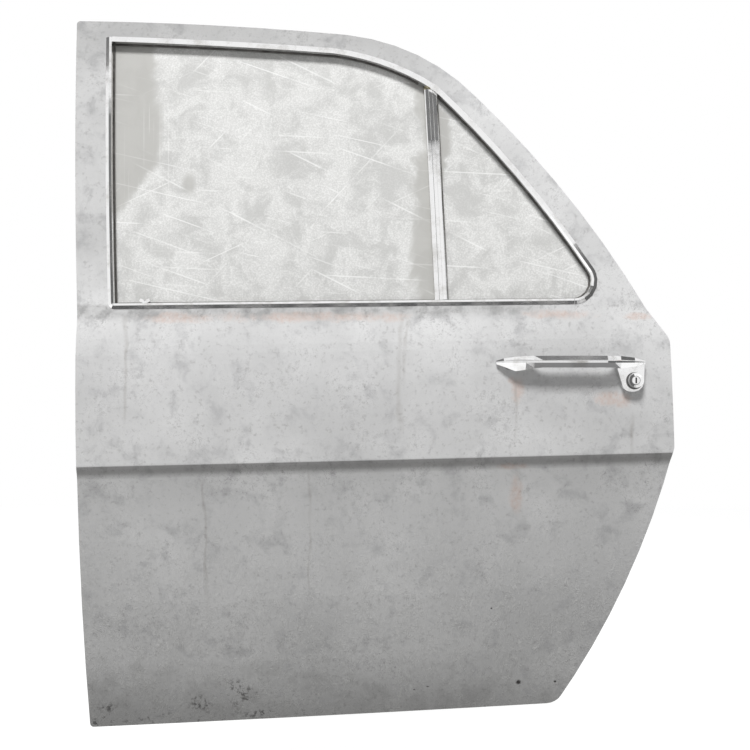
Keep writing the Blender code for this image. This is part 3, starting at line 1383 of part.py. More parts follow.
def slider_mesh():
    """Nylon slider inside the rail, with an ear that grips the cable."""
    side = RAIL_WIDTH / 2
    inside = side - RAIL_WALL - PIVOT_PLAY
    floor = RAIL_SHIFT + RAIL_LIP / 2 - SLIDER_PLAY
    lip = RAIL_SHIFT - RAIL_LIP / 2
    top = RAIL_SHIFT - SLIDER_RISE
    run = CABLE_RUN
    slot = CABLE_RADIUS + SLIDER_PLAY
    outline = [(inside, floor), (inside, top), (-run - 0.004, top), (-run - 0.004, RAIL_SHIFT + 0.003),
               (-run - slot, RAIL_SHIFT + 0.003), (-run - slot, RAIL_SHIFT - slot),
               (-run + slot, RAIL_SHIFT - slot), (-run + slot, RAIL_SHIFT + 0.003),
               (-side - 0.001, RAIL_SHIFT + 0.003),
               (-side - 0.001, lip - SLIDER_PLAY), (-inside, lip - SLIDER_PLAY), (-inside, floor)]
    heights = spread(SLIDER_TOP, SLIDER_TOP - SLIDER_LENGTH, 2)
    return lofted("glass_slider", [[on_rail(a, up, shift) for a, shift in outline] for up in heights])


def make_rail(door):
    """Folded guide rail, curved with the glass."""
    side, wall = RAIL_WIDTH / 2, RAIL_WALL
    lip, floor = RAIL_SHIFT - RAIL_LIP / 2, RAIL_SHIFT + RAIL_LIP / 2
    section = [(-side, floor + wall), (-side, lip), (-side + wall, lip), (-side + wall, floor),
               (side - wall, floor), (side - wall, lip), (side, lip), (side, floor + wall)]
    loops = [[on_rail(a, up, shift) for a, shift in section] for up in spread(RAIL_TOP, RAIL_BOTTOM, 9)]
    place("regulator_rail", lofted("regulator_rail", loops), plated("rail_plating"), door)


def pulley_homes():
    reach = PULLEY_RADIUS + CABLE_RADIUS + 0.005
    return on_rail(0, RAIL_TOP + reach, RAIL_SHIFT), on_rail(0, RAIL_BOTTOM - reach, RAIL_SHIFT)


def make_pulleys(door):
    """Cable pulleys at both ends of the rail, with their pins and brackets."""
    nylon = bpy.data.materials["white_nylon"]
    steel = bpy.data.materials["rail_plating"]
    inner = PANEL_DEPTH - PANEL_WALL - GAP
    half = PULLEY_WIDTH / 2
    rim = PULLEY_RADIUS + CABLE_RADIUS * 2
    bore = PIVOT_RADIUS + PIVOT_PLAY
    for label, home in zip(("upper", "lower"), pulley_homes()):
        profile = [(bore, -half), (rim, -half), (rim, -half + 0.0012), (PULLEY_RADIUS, -CABLE_RADIUS),
                   (PULLEY_RADIUS, CABLE_RADIUS), (rim, half - 0.0012), (rim, half), (bore, half)]
        name = f"{label}_pulley"
        place(name, turned(name, home, (0, 1, 0), profile, ROUND, bored=True), nylon, door, home)
        profile = [(PIVOT_RADIUS, -half - 0.002), (PIVOT_RADIUS, half + PIVOT_PLAY),
                   (rim * 0.85, half + PIVOT_PLAY), (rim * 0.85, half + 0.003), (0.009, half + 0.003),
                   (0.009, inner - home.y)]
        name = f"{label}_pulley_bracket"
        place(name, turned(name, home, (0, 1, 0), profile, ROUND), steel, door)


def tangent(one, one_radius, two, two_radius):
    """Where a cable leaves one round and meets the next, on its right-hand side."""
    way = two - one
    lean = (one_radius - two_radius) / way.length
    ahead = way.normalized()
    side = Vector((ahead.y, -ahead.x))
    spoke = ahead * lean + side * sqrt(1 - lean * lean)
    return one + spoke * one_radius, two + spoke * two_radius


def around(centre, start, end, steps):
    """Points on the arc round a centre, counter-clockwise from start to end."""
    first = (start - centre)
    turn = (end - centre).angle_signed(first)
    turn = turn if turn > 0 else turn + 2 * pi
    points = []
    for i in range(steps + 1):
        angle = turn * i / steps
        points.append(centre + Vector((first.x * cos(angle) - first.y * sin(angle),
                                       first.x * sin(angle) + first.y * cos(angle))))
    return points


def make_cable(door):
    """Endless cable round both pulleys and the drum."""
    upper, lower = pulley_homes()
    seat = CABLE_RADIUS + GAP
    drum = Vector(DRUM_PLACE)
    rounds = [(lower.xz, PULLEY_RADIUS + seat, lower.y), (drum, DRUM_RADIUS + seat, drum_depth()),
              (upper.xz, PULLEY_RADIUS + seat, upper.y)]
    following = rounds[1:] + rounds[:1]
    joins = [tangent(*one[:2], *two[:2]) for one, two in zip(rounds, following)]
    points = []
    for i, (centre, _, depth) in enumerate(rounds):
        arrive, leave = joins[i - 1][1], joins[i][0]
        points += [flat(p, depth) for p in around(centre, arrive, leave, 8)]
    for up in spread(RAIL_TOP, RAIL_BOTTOM, 10):
        points.append(on_rail(-CABLE_RUN, up, RAIL_SHIFT))
    place("regulator_cable", tube("regulator_cable", points, CABLE_RADIUS, 6, cyclic=True),
          bare_steel("cable_steel"), door)


def drum_depth():
    return PANEL_DEPTH - DRUM_SETBACK


def make_winder(door):
    """Drum with its spindle, the housing that carries it, and the winder handle with its knob."""
    steel = bpy.data.materials["rail_plating"]
    x, z = DRUM_PLACE
    depth = drum_depth()
    half = DRUM_WIDTH / 2
    base = Vector((x, depth, z))
    rim = DRUM_RADIUS + CABLE_RADIUS * 2.5
    end = PANEL_DEPTH + WINDER_STAND + 0.012 - depth
    profile = [(rim, -half), (rim, -half + 0.002), (DRUM_RADIUS, -half + 0.003), (DRUM_RADIUS, half - 0.003),
               (rim, half - 0.002), (rim, half), (SPINDLE_RADIUS, half), (SPINDLE_RADIUS, end)]
    place("cable_drum", turned("cable_drum", base, (0, 1, 0), profile, ROUND), steel, door, base)
    inner = PANEL_DEPTH - PANEL_WALL - GAP - depth
    start = half + 0.001
    cup, bore = rim + 0.006, SPINDLE_RADIUS + PIVOT_PLAY
    wall = RAIL_WALL
    brim = cup + 0.012
    profile = [(bore, start), (cup, start), (cup, inner - wall), (brim, inner - wall), (brim, inner),
               (cup - wall, inner), (cup - wall, start + wall), (bore, start + wall)]
    place("drum_housing", turned("drum_housing", base, (0, 1, 0), profile, ROUND, bored=True), steel, door)
    bright = bpy.data.materials["bright_trim"]
    low = PANEL_DEPTH + WINDER_STAND - depth
    bore = SPINDLE_RADIUS + GAP
    hub = [(bore, low), (0.016, low), (0.014, low + 0.014), (bore, low + 0.014)]
    arm_way = Vector((sin(CRANK_TURN), cos(CRANK_TURN)))
    handle = place("winder_handle", turned("winder_handle", base, (0, 1, 0), hub, ROUND, bored=True), bright,
                   door, base)
    side = Vector((-arm_way.y, arm_way.x))
    centre = Vector((x, z))
    grip = centre + arm_way * CRANK_LENGTH
    corners = [centre + arm_way * 0.010 - side * 0.008, grip + arm_way * 0.009 - side * 0.006,
               grip + arm_way * 0.009 + side * 0.006, centre + arm_way * 0.010 + side * 0.008]
    if (corners[1] - corners[0]).cross(corners[2] - corners[1]) < 0:
        corners.reverse()
    arm = prism("winder_arm", rounded(corners, 0.004, 2), flat, depth + low + 0.006, depth + low + 0.012)
    cut(handle, cutter("winder_arm", arm, door), "UNION")
    pin_base = Vector((grip.x, depth + low + 0.010, grip.y))
    pin = turned("winder_pin", pin_base, (0, 1, 0), [(0.0028, 0), (0.0028, 0.030)], SMALL_ROUND)
    cut(handle, cutter("winder_pin", pin, door), "UNION")
    knob_base = Vector((grip.x, depth + low + 0.012 + GAP, grip.y))
    knob = [(0.0032, 0), (0.008, 0), (0.0105, 0.008), (0.0095, 0.020), (0.006, 0.026), (0.0032, 0.026)]
    place("winder_knob", turned("winder_knob", knob_base, (0, 1, 0), knob, ROUND, bored=True),
          bpy.data.materials["knob_plastic"], door, knob_base)


def make_waist_rails(door):
    """Folded stiffeners along the belt, inside the skin and inside the inner panel."""
    steel = material("primer", (0.22, 0.21, 0.20), 0.7)
    wall = PANEL_WALL
    stations = spread(SHUT_INSET + 0.012, DOOR_LENGTH - PILLAR_FOOT_SETBACK - 0.045, 10)
    near = SKIN_WALL + HEM_GAP
    loops = []
    for x in stations:
        low, high = belt(x) - 0.040, belt(x) - 0.010
        path = [(low, near + 0.009), (low, near), (high, near), (high, near + 0.007)]
        outline = band([(up, shift) for up, shift in path], wall)
        loops.append([on_skin((x, p.x), p.y) for p in outline])
    place("outer_waist_rail", lofted("outer_waist_rail", loops), steel, door)


def main():
    clear_scene()
    material("cutter", (1, 0, 0), 0.5)
    material("window_glass", (0.72, 0.73, 0.72), 0.25)
    door = bpy.data.objects.new("door_frame", None)
    door.location = (-SHUT_INSET, -HINGE_SEAT_DEPTH, -LOWER_HINGE_HEIGHT)
    bpy.context.scene.collection.objects.link(door)
    make_outer_skin(door)
    panel = make_inner_panel(door)
    make_mouldings(door)
    make_glass_runs(door)
    make_division_bar(door)
    make_quarter_glass(door)
    make_waist_seals(door)
    make_handle(door)
    make_handle_pads(door)
    make_push_button(door)
    make_hinge_plates(door, panel)
    make_latch(door, panel)
    make_release(door)
    make_lock_knob(door, panel)
    make_drop_glass(door)
    make_rail(door)
    make_pulleys(door)
    make_cable(door)
    make_winder(door)
    make_waist_rails(door)


main()
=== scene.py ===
"""Looks for the rear side door: camera, soft studio light, floor and procedural materials."""

from math import cos, pi, radians, sin

import bmesh
import bpy
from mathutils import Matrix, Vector


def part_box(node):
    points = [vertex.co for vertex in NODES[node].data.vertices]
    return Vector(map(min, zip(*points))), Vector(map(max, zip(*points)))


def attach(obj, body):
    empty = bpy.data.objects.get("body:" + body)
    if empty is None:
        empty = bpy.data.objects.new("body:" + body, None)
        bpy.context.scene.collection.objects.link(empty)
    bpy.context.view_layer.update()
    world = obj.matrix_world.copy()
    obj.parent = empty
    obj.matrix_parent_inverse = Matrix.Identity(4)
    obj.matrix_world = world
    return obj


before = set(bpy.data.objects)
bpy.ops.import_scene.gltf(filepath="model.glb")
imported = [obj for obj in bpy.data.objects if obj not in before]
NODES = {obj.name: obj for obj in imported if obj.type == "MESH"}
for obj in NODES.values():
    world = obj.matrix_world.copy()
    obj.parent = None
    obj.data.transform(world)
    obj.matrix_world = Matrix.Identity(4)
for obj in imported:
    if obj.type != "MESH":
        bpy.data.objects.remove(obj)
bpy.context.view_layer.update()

# Camera, in metres, and its lens for the photograph's square frame
CAMERA_PLACE = (0.4297, -1.553, 0.3989)
CAMERA_LENS = 48.0
SENSOR = 36.0

# Studio: the world's light on the object, the floor's glow, and the lamps as place, target, size and watts
AMBIENT = 0.22
FLOOR_HEIGHT = -0.47
FLOOR_REACH = 5.0
FLOOR_GLOW = 0.90
FLOOR_GREY = (0.60, 0.60, 0.60, 1)
FLOOR_FAINT = (0.25, 0.25, 0.25, 1)
WHITE = (1, 1, 1, 1)
LAMPS = [("key", (-0.70, -5.1, 5.45), (0.43, 0, 0.45), (1.7, 1.7), 500.0),
         ("back", (1.9, 3.0, 2.3), (0.43, 0, 0.40), (1.6, 1.6), 45.0)]


def linear(red, green, blue):
    """Linear colour from display values between 0 and 255."""
    parts = [value / 255 for value in (red, green, blue)]
    return [c / 12.92 if c <= 0.04045 else ((c + 0.055) / 1.055) ** 2.4 for c in parts] + [1.0]


# Colours of the paint and of its dirt, of the dusted glass, and of the dirt and painted shadow in gaps
PAINT_LIGHT = linear(217, 217, 217)
PAINT_DULL = linear(202, 202, 202)
PAINT_CLOUD = linear(178, 178, 179)
PAINT_GRIME = linear(148, 146, 146)
PAINT_CRUST = linear(234, 234, 232)
PAINT_SPECK = linear(104, 101, 101)
PAINT_DRIP = linear(140, 134, 127)
RUST_TINT = linear(206, 178, 164)
CHIP_DARK = linear(34, 32, 30)
GLASS_DULL = linear(196, 196, 194)
GLASS_PALE = linear(213, 213, 211)
GLASS_WHITE = linear(246, 246, 245)
GLASS_WIPED = linear(180, 179, 175)
GAP_DIRT_AND_SHADE = linear(46, 44, 42)


class Graph:
    """Short calls for building a node tree."""

    def __init__(self, tree):
        self.tree = tree
        tree.nodes.clear()

    def add(self, kind, inputs=None, **settings):
        node = self.tree.nodes.new("ShaderNode" + kind)
        for name, value in settings.items():
            setattr(node, name, value)
        for name, value in (inputs or {}).items():
            self.put(node.inputs[name], value)
        return node

    def put(self, socket, value):
        if isinstance(value, bpy.types.NodeSocket):
            self.tree.links.new(value, socket)
        else:
            socket.default_value = value

    def maths(self, operation, one, two=0.0, clamp=False):
        node = self.add("Math", operation=operation, use_clamp=clamp)
        self.put(node.inputs[0], one)
        self.put(node.inputs[1], two)
        return node.outputs[0]

    def place(self):
        return self.add("TexCoord").outputs["Object"]

    def stretched(self, place, scale):
        return self.add("Mapping", {"Vector": place, "Scale": scale}).outputs[0]

    def noise(self, place, scale, detail=4.0, roughness=0.6, distortion=0.0):
        node = self.add("TexNoise", {"Vector": place, "Scale": scale, "Detail": detail,
                                     "Roughness": roughness, "Distortion": distortion})
        return node.outputs[0]

    def ramp(self, value, low, high, start=0.0, end=1.0):
        node = self.add("MapRange", interpolation_type="SMOOTHSTEP", clamp=True)
        for index, number in enumerate((value, low, high, start, end)):
            self.put(node.inputs[index], number)
        return node.outputs[0]

    def ramp_plain(self, value, start, end):
        """Straight map of a value between 0 and 1."""
        return self.maths("ADD", self.maths("MULTIPLY", value, end - start), start)

    def mix(self, factor, one, two, blend="MIX"):
        node = self.add("Mix", data_type="RGBA", blend_type=blend)
        self.put(node.inputs[0], factor)
        self.put(node.inputs[6], one)
        self.put(node.inputs[7], two)
        return node.outputs[2]

    def bump(self, height, strength, distance):
        node = self.add("Bump", {"Height": height, "Strength": strength, "Distance": distance})
        return node.outputs[0]

    def vectors(self, operation, one, two=(0, 0, 0)):
        node = self.add("VectorMath", operation=operation)
        self.put(node.inputs[0], one)
        self.put(node.inputs[1], two)
        return node.outputs

    def spot(self, place, centre, size, edge=0.0):
        """Soft mask round a point (x, z); size gives its half-widths, and edge moves its border."""
        moved = self.vectors("SUBTRACT", place, (centre[0], 0, centre[1]))[0]
        scaled = self.vectors("MULTIPLY", moved, (1 / size[0], 0, 1 / size[1]))[0]
        reach = self.vectors("LENGTH", scaled)["Value"]
        return self.ramp(self.maths("ADD", reach, edge), 0.35, 1.15, 1.0, 0.0)

    def spots(self, place, marks, edge):
        """Mask of all the marks of a list, each given as its centre and size."""
        return self.most([self.spot(place, centre, size, edge) for centre, size in marks])

    def most(self, masks):
        found = masks[0]
        for mask in masks[1:]:
            found = self.maths("MAXIMUM", found, mask)
        return found

    def finish(self, shader):
        output = self.tree.nodes.new("ShaderNodeOutputMaterial")
        self.tree.links.new(shader.outputs[0], output.inputs["Surface"])


def material(name):
    made = bpy.data.materials.new(name)
    made.use_nodes = True
    return made, Graph(made.node_tree)


def dress(finish, *names):
    """Gives CAD nodes a finished material."""
    for name in names:
        item = NODES[name]
        if not item.material_slots:
            item.data.materials.append(finish)
        for slot in item.material_slots:
            slot.material = finish


# Marks on the skin, as their centre (x, z) in metres and their half-widths
RUST_TINTS = [
    ((0.640, 0.376), (0.010, 0.022)),
    ((0.632, 0.392), (0.006, 0.006)),
    ((0.780, 0.362), (0.034, 0.013)),
    ((0.634, 0.263), (0.020, 0.006)),
    ((0.640, 0.225), (0.010, 0.040)),
    ((0.130, 0.484), (0.065, 0.009)),
    ((0.340, 0.485), (0.150, 0.009)),
    ((0.700, 0.489), (0.060, 0.008)),
    ((0.820, 0.486), (0.020, 0.006)),
]
CHIPS = [
    ((0.651, -0.074), (0.0050, 0.0040)),
    ((0.490, -0.086), (0.0020, 0.0016)),
    ((0.511, -0.081), (0.0022, 0.0014)),
    ((0.606, 0.046), (0.0016, 0.0014)),
    ((0.707, -0.073), (0.0020, 0.0018)),
]
SCABS = [
    ((0.219, -0.090), (0.026, 0.024)),
    ((0.162, -0.108), (0.018, 0.012)),
    ((0.014, -0.117), (0.016, 0.010)),
    ((0.250, -0.128), (0.030, 0.008)),
]

# Runs of dirt down the skin, as x, top, bottom and half-width
DRIPS = [
    (0.060, 0.487, 0.300, 0.00396),
    (0.175, 0.240, 0.020, 0.00360),
    (0.332, 0.255, 0.050, 0.00324),
    (0.468, 0.490, 0.300, 0.00612),
    (0.476, 0.480, 0.370, 0.00468),
    (0.636, 0.392, 0.280, 0.00432),
    (0.809, 0.340, 0.255, 0.00396),
]

# Painted shade darkening towards the bottom edge, as the heights where each step starts and ends, and what it
# leaves
PAINTED_SHADE_FALLS = [(0.46, 0.32, 0.88), (0.160, -0.020, 0.80), (-0.020, -0.145, 0.60)]

# Powers that the grey of the dirt and the painted shade is raised to in red, green and blue, which make it
# slightly warm
WARMTH_OF_DIRT_AND_SHADE = (1.0, 1.005, 1.018)

# Upper edge of the crease, where the painted shade below it starts: a point on it as (x, z), and its rise
# along the door
CREASE_PLACE = (0.0978, 0.2644)
CREASE_SLOPE = 0.0246

# Rise along the door of the sill's band of dirt
SILL_SLOPE = 0.0101


def dirty_paint():
    """Aged pale grey paint with mottled grime, rust tints, drips and chips, and painted shade under the
    crease and towards the bottom edge.
    """
    made, g = material("aged_door_paint")
    place = g.place()
    height = g.add("SeparateXYZ", {"Vector": place}).outputs["Z"]
    middle = g.noise(place, 30.0, 6.0, 0.66, 0.3)
    small = g.noise(place, 150.0, 4.0, 0.65)
    ragged = g.ramp(middle, 0.3, 0.7, -0.35, 0.35)
    colour = mottled(g, place, middle, small)
    colour = stained(g, place, colour, middle, small, ragged)
    crust = crust_relief(g, place, height)
    colour = g.mix(g.maths("MULTIPLY", crust, 0.45), colour, PAINT_CRUST)
    # Dirt on the frame and sill, with painted shade under the crease and towards the bottom edge
    colour = g.mix(1.0, colour, soiling_and_shade(g, place, middle), "MULTIPLY")
    chips = g.spots(place, CHIPS, g.ramp(small, 0.3, 0.7, -0.4, 0.4))
    scabs = g.maths("MULTIPLY", g.spots(place, SCABS, ragged), g.ramp(small, 0.50, 0.58))
    bottom = g.maths("MULTIPLY", g.ramp(height, -0.110, -0.150), g.ramp(small, 0.57, 0.66))
    colour = g.mix(g.maths("MULTIPLY", g.most([bottom, scabs]), 0.7), colour, CHIP_DARK)
    colour = g.mix(chips, colour, CHIP_DARK)
    relief = g.maths("ADD", g.maths("MULTIPLY", small, 0.35), g.maths("MULTIPLY", crust, 1.3))
    relief = g.maths("SUBTRACT", relief, g.maths("MULTIPLY", g.most([chips, scabs]), 1.4))
    rough = g.ramp(middle, 0.3, 0.75, 0.50, 0.68)
    g.finish(g.add("BsdfPrincipled", {"Base Color": colour, "Roughness": rough, "Specular IOR Level": 0.42,
                                      "Normal": g.bump(relief, 0.50, 0.0009)}))
    return made


def mottled(g, place, middle, small):
    """Paint colour with broad patches, clouds, fine grime and specks."""
    large = g.noise(place, 7.0, 5.0, 0.55)
    grain = g.noise(place, 620.0, 2.0, 0.5)
    colour = g.mix(g.ramp(large, 0.36, 0.66), PAINT_DULL, PAINT_LIGHT)
    colour = g.mix(g.ramp(middle, 0.48, 0.70, 0.0, 0.75), colour, PAINT_CLOUD)
    colour = g.mix(g.ramp(small, 0.54, 0.72, 0.0, 0.42), colour, PAINT_GRIME)
    colour = g.mix(g.ramp(grain, 0.60, 0.78, 0.0, 0.26), colour, PAINT_GRIME)
    return g.mix(specks(g, place), colour, PAINT_SPECK)


def stained(g, place, colour, middle, small, ragged):
    """The colour with rust tints and drips over it."""
    tints = g.spots(place, RUST_TINTS, ragged)
    tints = g.maths("MULTIPLY", tints, g.ramp(small, 0.30, 0.62, 0.16, 0.48))
    colour = g.mix(tints, colour, RUST_TINT)
    drips = g.most([drip(g, place, middle, *line) for line in DRIPS])
    return g.mix(g.maths("MULTIPLY", drips, 0.40), colour, PAINT_DRIP)


def soiling_and_shade(g, place, wander):
    """Grey factor of the dirt on the window frame and along the sill, and of the painted shade under the
    crease and further down.
    """
    parts = g.add("SeparateXYZ", {"Vector": place})
    across, height = parts.outputs["X"], parts.outputs["Z"]
    level = g.maths("ADD", height, g.ramp(wander, 0.3, 0.7, -0.030, 0.030))
    shade = 1.0
    # Painted shade towards the bottom edge, in steps
    for top, bottom, left in PAINTED_SHADE_FALLS:
        shade = g.maths("MULTIPLY", shade, g.ramp(level, top, bottom, 1.0, left))
    # Dirt on the frame and sill, and painted shade under the crease
    for dirt_and_shade in (frame_dirt(g, across, height, level), sill_dirt(g, across, height, wander),
                 crease_painted_shade(g, across, height)):
        shade = g.maths("MULTIPLY", shade, g.maths("SUBTRACT", 1.0, dirt_and_shade))
    joined = g.add("CombineColor")
    for index, warm in enumerate(WARMTH_OF_DIRT_AND_SHADE):
        g.put(joined.inputs[index], g.maths("POWER", shade, warm))
    return joined.outputs[0]


def frame_dirt(g, across, height, level):
    """Dirt on the window frame and along the roof line, fading out towards the slant."""
    ahead = g.ramp(across, 0.62, 0.42)
    framed = g.maths("MULTIPLY", g.ramp(level, 0.48, 0.60, 0.0, 0.15), ahead)
    roofed = g.maths("MULTIPLY", g.ramp(height, 0.86, 0.93, 0.0, 0.12), ahead)
    return g.maths("ADD", framed, roofed)


def sill_dirt(g, across, height, wander):
    """Patchy dirt in a band below the waist moulding."""
    level = g.maths("SUBTRACT", height, g.maths("MULTIPLY", across, SILL_SLOPE))
    band = g.ramp(level, 0.474, 0.490, 0.0, 0.30)
    band = g.maths("MULTIPLY", band, g.ramp(wander, 0.36, 0.60, 0.35, 1.0))
    ends = g.maths("MULTIPLY", g.ramp(height, 0.506, 0.500), g.ramp(across, 0.72, 0.64))
    return g.maths("MULTIPLY", band, ends)


def crease_painted_shade(g, across, height):
    """Painted shade below the crease: even all the way down, and darker near its edge."""
    rise = g.maths("MULTIPLY", g.maths("SUBTRACT", across, CREASE_PLACE[0]), CREASE_SLOPE)
    drop = g.maths("SUBTRACT", g.maths("SUBTRACT", height, CREASE_PLACE[1]), rise)
    edge = g.ramp(drop, 0.0012, -0.0006)
    near = g.ramp(drop, -0.021, -0.008, 0.0, 0.37)
    wide = g.ramp(drop, -0.075, -0.010, 0.0, 0.08)
    return g.maths("MULTIPLY", edge, g.maths("ADD", g.maths("ADD", near, wide), 0.19))


def specks(g, place):
    """Mask of small dark squiggles that gather in clusters."""
    cluster = g.ramp(g.noise(place, 14.0, 4.0, 0.65), 0.46, 0.64, 0.04, 1.0)
    found = None
    for scale, level, width in ((120.0, 0.62, 0.020), (210.0, 0.60, 0.026)):
        curl = g.noise(place, scale, 2.0, 0.5, 1.2)
        line = g.ramp(g.maths("ABSOLUTE", g.maths("SUBTRACT", curl, level)), width, 0.0)
        found = line if found is None else g.maths("MAXIMUM", found, line)
    return g.maths("MULTIPLY", g.maths("MULTIPLY", found, cluster), 0.48)


def crust_relief(g, place, height):
    """Fine worm-like ridges that grow from the crease down to the bottom edge."""
    streaky = g.stretched(place, (1.0, 1.0, 0.60))
    fine = g.noise(streaky, 150.0, 3.0, 0.55, 0.9)
    ridge = g.ramp(g.maths("ABSOLUTE", g.maths("SUBTRACT", fine, 0.5)), 0.060, 0.0)
    broad = g.ramp(g.noise(place, 40.0, 4.0, 0.6), 0.38, 0.60, 0.25, 1.0)
    return g.maths("MULTIPLY", g.maths("MULTIPLY", ridge, broad), g.ramp(height, 0.26, -0.02, 0.10, 1.0))


def drip(g, place, wander, x, top, bottom, width):
    """Mask of a thin run of dirt down the skin."""
    parts = g.add("SeparateXYZ", {"Vector": place})
    slow = g.noise(g.stretched(place, (1.0, 1.0, 0.35)), 20.0, 3.0)
    off = g.maths("ADD", g.maths("SUBTRACT", parts.outputs["X"], x), g.ramp(slow, 0.2, 0.8, -0.006, 0.006))
    line = g.ramp(g.maths("ABSOLUTE", off), width, 0.0)
    above = g.ramp(parts.outputs["Z"], top + 0.006, top - 0.006)
    below = g.ramp(parts.outputs["Z"], bottom, bottom + 0.05)
    held = g.maths("MULTIPLY", g.maths("MULTIPLY", line, above), below)
    return g.maths("MULTIPLY", held, g.ramp(wander, 0.35, 0.60, 0.25, 0.80))


def dusty_glass():
    """Safety glass under a coat of dust, with long scratches and wiped patches."""
    made, g = material("dusty_glass")
    place = g.place()
    cloud = g.noise(place, 6.0, 6.0, 0.60, 0.4)
    patchy = g.noise(place, 24.0, 5.0, 0.62, 0.6)
    fleck = g.noise(place, 420.0, 4.0, 0.75)
    wiped = wiped_places(g, place, cloud)
    marks = glass_marks(g, place, wiped)
    flecked = g.maths("MULTIPLY", g.ramp(fleck, 0.44, 0.62), g.ramp(patchy, 0.34, 0.58, 0.16, 0.58))
    dusted = g.maths("MULTIPLY", flecked, g.maths("SUBTRACT", 1.0, wiped))
    colour = g.mix(g.ramp(patchy, 0.36, 0.62), GLASS_DULL, GLASS_PALE)
    colour = g.mix(dusted, colour, GLASS_WHITE)
    colour = g.mix(g.maths("MULTIPLY", wiped, 0.75), colour, GLASS_WIPED)
    colour = g.mix(marks, colour, GLASS_WHITE)
    cover = g.ramp(cloud, 0.30, 0.60, 0.90, 0.97)
    clear = g.maths("SUBTRACT", 1.0, g.maths("MAXIMUM", cover, marks), clamp=True)
    rough = g.ramp(cloud, 0.3, 0.7, 0.34, 0.55)
    relief = g.maths("ADD", marks, flecked)
    g.finish(g.add("BsdfPrincipled", {"Base Color": colour, "Roughness": rough, "IOR": 1.45,
                                      "Transmission Weight": clear,
                                      "Normal": g.bump(relief, 0.10, 0.0003)}))
    return made


def wiped_places(g, place, cloud):
    """Mask of the duller strips at the front edge and before the division bar, and of a small patch."""
    parts = g.add("SeparateXYZ", {"Vector": place})
    across = g.maths("ADD", parts.outputs["X"], g.ramp(cloud, 0.3, 0.7, -0.022, 0.022))
    narrowed = g.maths("ADD", across, g.ramp(parts.outputs["Z"], 0.74, 0.60, 0.0, 0.045))
    strips = g.maths("MAXIMUM", g.ramp(narrowed, 0.088, 0.072), g.ramp(across, 0.482, 0.500))
    strips = g.maths("MULTIPLY", strips, g.ramp(across, 0.530, 0.522))
    patch = g.spot(place, (0.146, 0.690), (0.013, 0.020))
    return g.maths("MAXIMUM", strips, g.maths("MULTIPLY", patch, 0.8))


def glass_marks(g, place, wiped):
    """Mask of the scratches, with a faint comb of upright ones near the front edge."""
    marks = g.most([scratches(g, place, *way) for way in SCRATCH_WAYS])
    marks = g.maths("MULTIPLY", marks, g.ramp(wiped, 0.0, 1.0, 0.62, 0.22))
    comb = scratches(g, place, *COMB_WAY)
    combed = g.maths("MULTIPLY", comb, g.spot(place, (0.090, 0.730), (0.050, 0.110)))
    return g.maths("MAXIMUM", marks, g.maths("MULTIPLY", combed, 0.35))


# Angle below the horizontal towards the rear, spacing, half-width, and share of each line that shows
SCRATCH_WAYS = [(radians(20), 0.019, 0.0013, 0.46), (radians(27), 0.031, 0.0017, 0.46),
                (radians(13), 0.021, 0.0011, 0.46), (radians(-26), 0.036, 0.0010, 0.44),
                (radians(-48), 0.042, 0.0014, 0.45), (radians(3), 0.024, 0.0014, 0.46)]
COMB_WAY = (radians(88), 0.0075, 0.0009, 0.56)


def scratches(g, place, angle, spacing, width, share):
    """Mask of straight thin scratches at one angle: one line in each band, of its own place and length."""
    parts = g.add("SeparateXYZ", {"Vector": place})
    x, z = parts.outputs["X"], parts.outputs["Z"]
    along = g.maths("ADD", g.maths("MULTIPLY", x, cos(angle)), g.maths("MULTIPLY", z, -sin(angle)))
    over = g.maths("ADD", g.maths("MULTIPLY", x, sin(angle)), g.maths("MULTIPLY", z, cos(angle)))
    bands = g.maths("DIVIDE", g.maths("ADD", over, 3.0), spacing)
    band = g.maths("FLOOR", bands)
    chance = g.add("TexWhiteNoise", noise_dimensions="1D")
    g.put(chance.inputs["W"], g.maths("ADD", band, angle * 57.0))
    seeds = g.add("SeparateColor", {"Color": chance.outputs["Color"]})
    middle = g.ramp_plain(seeds.outputs[0], 0.25, 0.75)
    tilt = g.maths("MULTIPLY", g.maths("SUBTRACT", seeds.outputs[1], 0.5), g.maths("MULTIPLY", along, 0.5))
    off = g.maths("SUBTRACT", g.maths("SUBTRACT", g.maths("FRACT", bands), middle), tilt)
    line = g.ramp(g.maths("MULTIPLY", g.maths("ABSOLUTE", off), spacing), width, width * 0.3)
    spot = g.add("CombineXYZ")
    g.put(spot.inputs[0], g.maths("MULTIPLY", along, 5.0))
    g.put(spot.inputs[1], g.maths("MULTIPLY", band, 3.7))
    worn = g.noise(spot.outputs[0], 1.0, 3.0, 0.6)
    return g.maths("MULTIPLY", line, g.ramp(worn, 1.0 - share, 1.12 - share))


